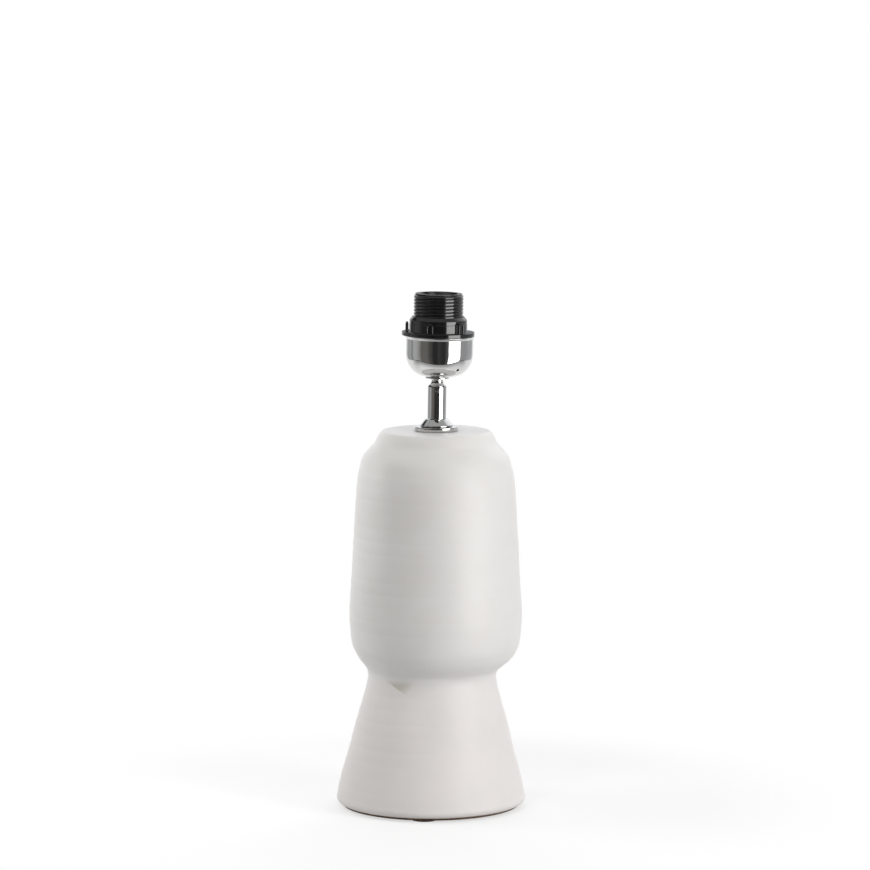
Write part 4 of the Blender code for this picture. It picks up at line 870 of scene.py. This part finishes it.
# Lampholder skirt with its shade thread outside and the lamp's thread inside
skirt = Values(crest=0.0203, root=0.0195, threadLow=0.0780, threadHigh=0.1117, pitch=0.00275,
    threadStart=0.56, runOut=0.0011, top=0.1126, shoulder=0.0226, shoulderLow=0.0750,
    spigot=0.0190, spigotLow=0.0655, spigotBore=0.0168, chamber=0.0148, chamberLow=0.0794,
    lampRoot=0.0135, lampCrest=0.01225, lampPitch=0.003629, lampLow=0.0906, lampHigh=0.1096,
    mouth=0.0161, facets=120)


def makeSkirt():
    s = skirt
    top = [(s.root, s.threadHigh)] + roundedOutline([
        (s.root, s.threadHigh, 0.0), (s.root - 0.0003, s.top, 0.0004), (s.mouth, s.top, 0.0003),
        (s.mouth - 0.0003, s.top - 0.0012, 0.0), (s.lampRoot, s.lampHigh, 0.0)], 4)[1:-1]
    top.append((s.lampRoot, s.lampHigh))
    below = roundedOutline([
        (s.lampRoot, s.lampLow, 0.0), (s.chamber, s.lampLow, 0.0), (s.chamber, s.chamberLow, 0.0),
        (s.spigotBore, s.chamberLow, 0.0), (s.spigotBore, s.spigotLow, 0.0),
        (s.spigot, s.spigotLow, 0.0003), (s.spigot, s.shoulderLow, 0.0),
        (s.shoulder, s.shoulderLow, 0.0004), (s.shoulder, s.threadLow, 0.0004),
        (s.root, s.threadLow, 0.0)], 4)
    upper = turn(top, s.facets, False)
    lower = turn(below, s.facets, False)
    keep = bpy.data.meshes.new("lowerSkin")
    lower.to_mesh(keep)
    lower.free()
    upper.from_mesh(keep)
    piece = makeObject("lampholderSkirt", upper)
    bands = [
        {"Rows": 340, "Low": s.threadLow, "High": s.threadHigh, "Pitch": s.pitch,
         "Root Radius": s.root, "Crest Radius": s.crest, "Run Out": s.runOut, "Start": s.threadStart,
         "Root Share": 0.08, "Crest Share": 0.36, "Sharp Root": 1.0},
        {"Rows": 90, "Low": s.lampLow, "High": s.lampHigh, "Pitch": s.lampPitch,
         "Root Radius": s.lampRoot, "Crest Radius": s.lampCrest, "Run Out": 0.0018, "Root Share": 0.05,
         "Crest Share": 0.05},
    ]
    for band in bands:
        useTree(piece, threadTree, {**band, "Facets": s.facets, "Material": finish["black_plastic"]})
    piece.data.transform(onStem)
    finishPiece(piece, "black_plastic", "stand", ["lampholder_skirt"], 62.0)


makeSkirt()
print("lampholder skirt made")


# Shade ring, screwed down on the skirt, with its arched finger lugs
ring = Values(bore=0.0205, low=0.0783, flange=0.0298, flangeTop=0.0813, flangeEdge=0.0004,
    collar=0.0237, collarTop=0.0912, coneTop=0.0938, land=0.0008, step=0.00018,
    stepHeight=0.0880, lugs=5, lugTurn=165.0, lugStep=60.0, lugRadius=0.0264, lugThick=0.0014,
    lugWide=0.0056, lugLeg=0.0013, lugHeight=0.0088, lugSink=0.0004, lugEdge=0.0006,
    archSteps=12, facets=160)


def makeShadeRing():
    r = ring
    piece = makeObject("shadeRing", turn(roundedOutline([
        (r.bore, r.low, 0.0002), (r.flange, r.low, r.flangeEdge),
        (r.flange, r.flangeTop, r.flangeEdge), (r.collar, r.flangeTop, 0.0003),
        (r.collar, r.stepHeight, 0.0002), (r.collar - r.step, r.stepHeight + r.step, 0.0002),
        (r.collar - r.step, r.collarTop, 0.0005), (r.bore + r.land, r.coneTop, 0.0002),
        (r.bore, r.coneTop, 0.0002)], 5), r.facets), onStem)
    finishPiece(piece, "black_plastic", "shade_ring", ["shade_ring"])

    mid = (r.lugWide - r.lugLeg) / 2.0
    foot = r.flangeTop - r.lugSink
    spring = r.flangeTop + r.lugHeight - r.lugWide / 2.0
    bends = [math.pi * k / r.archSteps for k in range(r.archSteps + 1)]
    arch = [(-mid * math.cos(bend), spring + mid * math.sin(bend)) for bend in bends]
    lug = makeObject("shadeRingLugs", sweepFlat([(-mid, foot)] + arch + [(mid, foot)], r.lugLeg / 2.0,
        r.lugThick / 2.0, r.lugEdge))
    useTree(lug, roundTree, {"Count": r.lugs, "Radius": r.lugRadius, "First Angle": math.radians(r.lugTurn),
        "Step": math.radians(r.lugStep), "Material": finish["black_plastic"]})
    lug.data.transform(onStem)
    finishPiece(lug, "black_plastic", "shade_ring", [], 40.0)


makeShadeRing()
print("shade ring made")


# Contacts at the bottom of the socket
contacts = Values(pivotHeight=0.07965, centreFrom=-0.0062, centreRise=0.0042, centreWide=0.0060,
    thick=0.0005, sideAt=0.01285, sideTall=0.0100, sideBow=0.0012, sideWide=0.0050,
    centreShares=[(0.0, 0.0), (0.15, 0.06), (0.38, 0.32), (0.75, 0.85), (0.92, 0.99), (1.08, 0.99),
        (1.25, 0.85)],
    sideShares=[(0.0, 0.0), (0.0, 0.30), (0.45, 0.50), (1.0, 0.75), (0.9, 0.88), (0.3, 1.0)])


def makeContacts():
    c = contacts
    leaves = [
        ("centreContact", "centre_contact", c.centreFrom, c.centreWide,
         [(-c.centreFrom * along, c.centreRise * up) for along, up in c.centreShares]),
        ("sideContact", "side_contact", c.sideAt, c.sideWide,
         [(-c.sideBow * bow, c.sideTall * up) for bow, up in c.sideShares]),
    ]
    for name, node, offset, wide, points in leaves:
        leaf = makeObject(name, sweepFlat(smoothLine(points, 6), c.thick / 2.0, wide / 2.0, 0.00012),
            onStem @ Matrix.Translation((offset, 0.0, c.pivotHeight)))
        finishPiece(leaf, "spring_bronze", node, [node], 40.0)


def softenEdges(node, name, slotName, width):
    # a copy of a plain piece with its edges broken
    source = cadNodes[node]
    bm = bmesh.new()
    bm.from_mesh(source.data)
    bmesh.ops.remove_doubles(bm, verts=bm.verts, dist=0.000001)
    bmesh.ops.dissolve_limit(bm, angle_limit=math.radians(1.0), verts=bm.verts, edges=bm.edges)
    piece = makeObject(name, bm)
    bevel = piece.modifiers.new("edges", "BEVEL")
    bevel.width = width
    bevel.segments = 2
    bevel.limit_method = "ANGLE"
    bevel.angle_limit = math.radians(35.0)
    bakeModifiers(piece)
    finishPiece(piece, slotName, "stand", [node])


makeContacts()
softenEdges("terminal_block", "terminalBlock", "white_insulator", 0.0002)
softenEdges("live_terminal", "liveTerminal", "brass", 0.00012)
softenEdges("neutral_terminal", "neutralTerminal", "brass", 0.00012)
print("contacts made")

# Pieces that keep their own shape
dressed = {
    "zinc_steel": ["base_plate", "plate_washer", "plate_lock_washer", "plate_nut", "lamp_pipe",
                   "cup_lock_washer", "cup_nut", "cap_grub_screw", "live_terminal_screw",
                   "neutral_terminal_screw"],
    "brass": ["earth_tag", "cap_thread_insert"],
    "black_plastic": ["lampholder_cap"],
    "black_rubber": ["seat_gasket"],
}
for slotName, names in dressed.items():
    for name in names:
        for holder in cadNodes[name].material_slots:
            holder.material = finish[slotName]
print("inner pieces dressed")


# Studio: a white table with a near edge, a bright softbox on the right, a dark room in front

studio = Values(
    scale=5.0,
    # degrees from the front, right positive: where each band starts, how softly, its tint, and its
    # brightness at each level of height
    bands=[
        (-180.0, 4.0, (0.97, 0.99, 1.05), (1.52, 2.96, 1.67, 0.81)),
        (-150.0, 4.0, (0.99, 1.00, 1.01), (0.44, 0.04, 0.04, 0.40)),
        (-113.0, 1.6, (1.00, 1.00, 0.97), (0.26, 0.04, 0.04, 0.58)),
        (-106.0, 1.6, (0.99, 1.00, 1.01), (0.49, 0.04, 0.04, 0.39)),
        (-83.0, 5.0, (1.02, 1.00, 0.96), (0.36, 0.03, 0.04, 0.70)),
        (-71.0, 5.0, (1.05, 1.00, 0.92), (0.160, 0.02, 0.06, 0.83)),
        (-39.0, 6.0, (1.04, 1.00, 0.93), (0.076, 0.02, 0.05, 0.88)),
        (-25.0, 4.0, (1.02, 1.00, 0.98), (0.030, 0.01, 0.05, 0.65)),
        (-7.0, 3.0, (1.02, 0.98, 1.02), (0.053, 0.03, 0.05, 0.49)),
        (4.0, 4.0, (1.00, 1.00, 1.00), (0.036, 0.02, 0.04, 0.24)),
        (22.0, 3.0, (1.00, 1.00, 1.02), (0.105, 0.01, 0.05, 0.50)),
        (33.0, 3.0, (1.01, 1.00, 0.99), (0.92, 0.85, 0.63, 1.35)),
        (75.0, 3.0, (0.99, 1.00, 1.02), (0.38, 0.03, 0.03, 0.46)),
        (112.0, 9.0, (0.99, 1.00, 1.02), (0.51, 0.48, 1.10, 1.04)),
        (150.0, 6.0, (0.98, 0.99, 1.04), (0.72, 3.60, 2.85, 1.12))],
    # the softbox on the right is brighter still in a mirror: from, to, soft edge, up to, and by how much
    glare=(33.0, 74.5, 3.0, 10.0, 5.3),
    levels=[6.0, 18.0, 36.0, 55.0], levelSoftness=4.0, ceiling=0.45,
    backdropShown=0.95, backdropTint=(0.97, 0.99, 1.0), backdropFrom=(0.80, 0.88),
    backdropTop=(34.0, 24.0), tableNear=-0.42, tableHalf=0.98, tableFar=1.5,
    tableColour=0.56, tableBounce=0.03, tableGlow=0.60, tableShade=0.38,
    shadeReach=(0.22, 0.36), dimReach=(0.12, 0.36), dimShare=0.42, edgeReach=(0.36, 0.42),
    edgeShare=0.04, whiteBehind=(-0.05, 0.50),
    # soft lamps: degrees from the front, distance, height, width and power
    lamps=[(-100.0, 0.45, 0.40, 0.30, 1.08), (54.0, 1.30, 0.58, 0.50, 7.77),
              (-25.0, 1.30, 0.90, 0.50, 3.37)],
    lampAim=(0.0, 0.0, 0.20),
)


def fillRamp(ramp, level):
    bands = studio.bands

    def tone(band):
        _, _, tint, bright = band
        return tuple(part * bright[level] / studio.scale for part in tint)

    wanted = [(0.0, tone(bands[0]))]
    for before, after in zip(bands, bands[1:]):
        wanted.append(((after[0] - after[1]) / 360.0 + 0.5, tone(before)))
        wanted.append(((after[0] + after[1]) / 360.0 + 0.5, tone(after)))
    wanted.append((1.0, tone(bands[-1])))
    stops = ramp.color_ramp.elements
    while len(stops) > 1:
        stops.remove(stops[-1])
    stops[0].position = 0.0
    for position, _ in wanted[1:]:
        stops.new(position)
    for stop, (position, colour) in zip(stops, wanted):
        stop.position = position
        stop.color = (*colour, 1.0)


def buildWorld():
    s = studio
    world = bpy.data.worlds.new("studio")
    bpy.context.scene.world = world
    world.use_nodes = True
    tree = world.node_tree
    tree.nodes.clear()
    axes = splitAxes(tree, addNode(tree, "ShaderNodeTexCoord").outputs["Generated"])
    azimuth = calc(tree, "ARCTAN2", axes["X"], times(tree, axes["Y"], -1.0))
    share = plus(tree, calc(tree, "DIVIDE", azimuth, 2.0 * math.pi), 0.5)
    elevation = times(tree, calc(tree, "ARCSINE", axes["Z"]), 180.0 / math.pi)
    room = None
    for level in range(len(s.levels)):
        ramp = addNode(tree, "ShaderNodeValToRGB", {0: share})
        fillRamp(ramp, level)
        if room is None:
            room = ramp.outputs[0]
        else:
            start = s.levels[level - 1]
            room = blendColours(tree, remap(tree, elevation, start - s.levelSoftness, start + s.levelSoftness),
                room, ramp.outputs[0])
    top = s.levels[-1]
    room = blendColours(tree, remap(tree, elevation, top - s.levelSoftness, top + s.levelSoftness), room,
        (s.ceiling / s.scale,) * 3)
    path = addNode(tree, "ShaderNodeLightPath").outputs
    mirrored = calc(tree, "MAXIMUM", path["Is Glossy Ray"], path["Is Transmission Ray"])
    start, stop, soft, height, gain = s.glare
    degrees = times(tree, azimuth, 180.0 / math.pi)
    inside = times(tree, remap(tree, degrees, start - soft, start + soft),
        times(tree, remap(tree, degrees, stop + soft, stop - soft), remap(tree, elevation, height, 0.0)))
    brighter = times(tree, times(tree, inside, mirrored), gain)
    strength = times(tree, plus(tree, brighter, 1.0), s.scale)
    lit = addNode(tree, "ShaderNodeBackground", {"Color": room, "Strength": strength}).outputs[0]
    # the white backdrop behind the object, as the camera and polished metal see it
    white = addNode(tree, "ShaderNodeBackground", {"Color": (1.0, 1.0, 1.0, 1.0), "Strength": 1.0}).outputs[0]
    pale = addNode(tree, "ShaderNodeBackground", {
        "Color": (*s.backdropTint, 1.0), "Strength": s.backdropShown})
    behind = times(tree, remap(tree, axes["Y"], *s.backdropFrom), remap(tree, elevation, *s.backdropTop))
    room = mixShaders(tree, times(tree, mirrored, behind), lit, pale.outputs[0])
    shown = mixShaders(tree, path["Is Camera Ray"], room, white)
    end = tree.nodes.new("ShaderNodeOutputWorld")
    tree.links.new(shown, end.inputs["Surface"])


def buildTable():
    s = studio
    bm = bmesh.new()
    half, near, far = s.tableHalf, s.tableNear, s.tableFar
    front = [(half * math.cos(math.pi * k / 40), near * math.sin(math.pi * k / 40), 0.0) for k in range(41)]
    bm.faces.new([bm.verts.new(p) for p in [(half, far, 0.0), (-half, far, 0.0)] + front[::-1]])
    bmesh.ops.recalc_face_normals(bm, faces=bm.faces)
    table = makeObject("tableTop", bm)
    mat = bpy.data.materials.new("whiteTable")
    mat.use_nodes = True
    tree = mat.node_tree
    tree.nodes.clear()
    matt = addNode(tree, "ShaderNodeBsdfDiffuse", {"Color": (*(s.tableColour,) * 3, 1.0)}).outputs[0]
    fill = whiteGlow(tree, s.tableBounce)
    plain = addNode(tree, "ShaderNodeAddShader", {0: matt, 1: fill}).outputs[0]
    shade = addNode(tree, "ShaderNodeBsdfDiffuse", {"Color": (*(s.tableShade,) * 3, 1.0)}).outputs[0]
    glow = whiteGlow(tree, s.tableGlow)
    pale = addNode(tree, "ShaderNodeAddShader", {0: shade, 1: glow}).outputs[0]
    path = addNode(tree, "ShaderNodeLightPath").outputs
    # in a mirror it darkens towards its front edge
    place = objectSpace(tree)
    axes = splitAxes(tree, place)
    drawn = addNode(tree, "ShaderNodeCombineXYZ", {"X": times(tree, axes["X"], -near / half),
        "Y": calc(tree, "MINIMUM", axes["Y"], 0.0), "Z": 0.0})
    front = addNode(tree, "ShaderNodeVectorMath", {0: drawn.outputs[0]}, operation="LENGTH").outputs["Value"]
    dim = times(tree, remap(tree, front, *s.dimReach, 1.0, s.dimShare),
        remap(tree, front, *s.edgeReach, 1.0, s.edgeShare))
    dark = whiteGlow(tree, 0.0)
    lost = times(tree, minus(tree, 1.0, dim), minus(tree, 1.0, path["Is Camera Ray"]))
    pale = mixShaders(tree, lost, pale, dark)
    # away from the object the table is as white as the backdrop, so its edges don't show
    reach = addNode(tree, "ShaderNodeVectorMath", {0: objectSpace(tree)},
        operation="LENGTH").outputs["Value"]
    white = whiteGlow(tree, 1.0)
    whiter = times(tree, remap(tree, reach, *s.shadeReach), calc(tree, "MAXIMUM", path["Is Camera Ray"],
        remap(tree, axes["Y"], *s.whiteBehind)))
    pale = mixShaders(tree, whiter, pale, white)
    seen = calc(tree, "MAXIMUM", path["Is Camera Ray"], calc(tree, "MAXIMUM", path["Is Glossy Ray"],
        path["Is Transmission Ray"]))
    both = mixShaders(tree, seen, plain, pale)
    end = tree.nodes.new("ShaderNodeOutputMaterial")
    tree.links.new(both, end.inputs["Surface"])
    table.data.materials.append(mat)


def buildLamps():
    aim = Vector(studio.lampAim)
    for k, (angle, distance, height, width, power) in enumerate(studio.lamps):
        data = bpy.data.lights.new("softLamp%d" % k, "AREA")
        data.shape = "DISK"
        data.size = width
        data.energy = power
        lamp = bpy.data.objects.new(data.name, data)
        turned = math.radians(angle)
        lamp.location = (distance * math.sin(turned), -distance * math.cos(turned), height)
        lamp.rotation_euler = (aim - lamp.location).to_track_quat("-Z", "Y").to_euler()
        lamp.visible_camera = False
        lamp.visible_glossy = False
        bpy.context.scene.collection.objects.link(lamp)


camera = Values(place=(0.0034, -3.6572, 0.7503), pitch=6.9, lens=186.2, sensor=36.0)


def buildCamera():
    data = bpy.data.cameras.new("camera")
    data.lens = camera.lens
    data.sensor_width = camera.sensor
    data.clip_start = 0.05
    data.clip_end = 200.0
    view = bpy.data.objects.new("camera", data)
    view.location = camera.place
    view.rotation_euler = (math.radians(90.0 - camera.pitch), 0.0, 0.0)
    bpy.context.scene.collection.objects.link(view)
    bpy.context.scene.camera = view


buildWorld()
buildTable()
buildLamps()
buildCamera()
bpy.context.scene.view_settings.view_transform = "Standard"
print("studio ready")
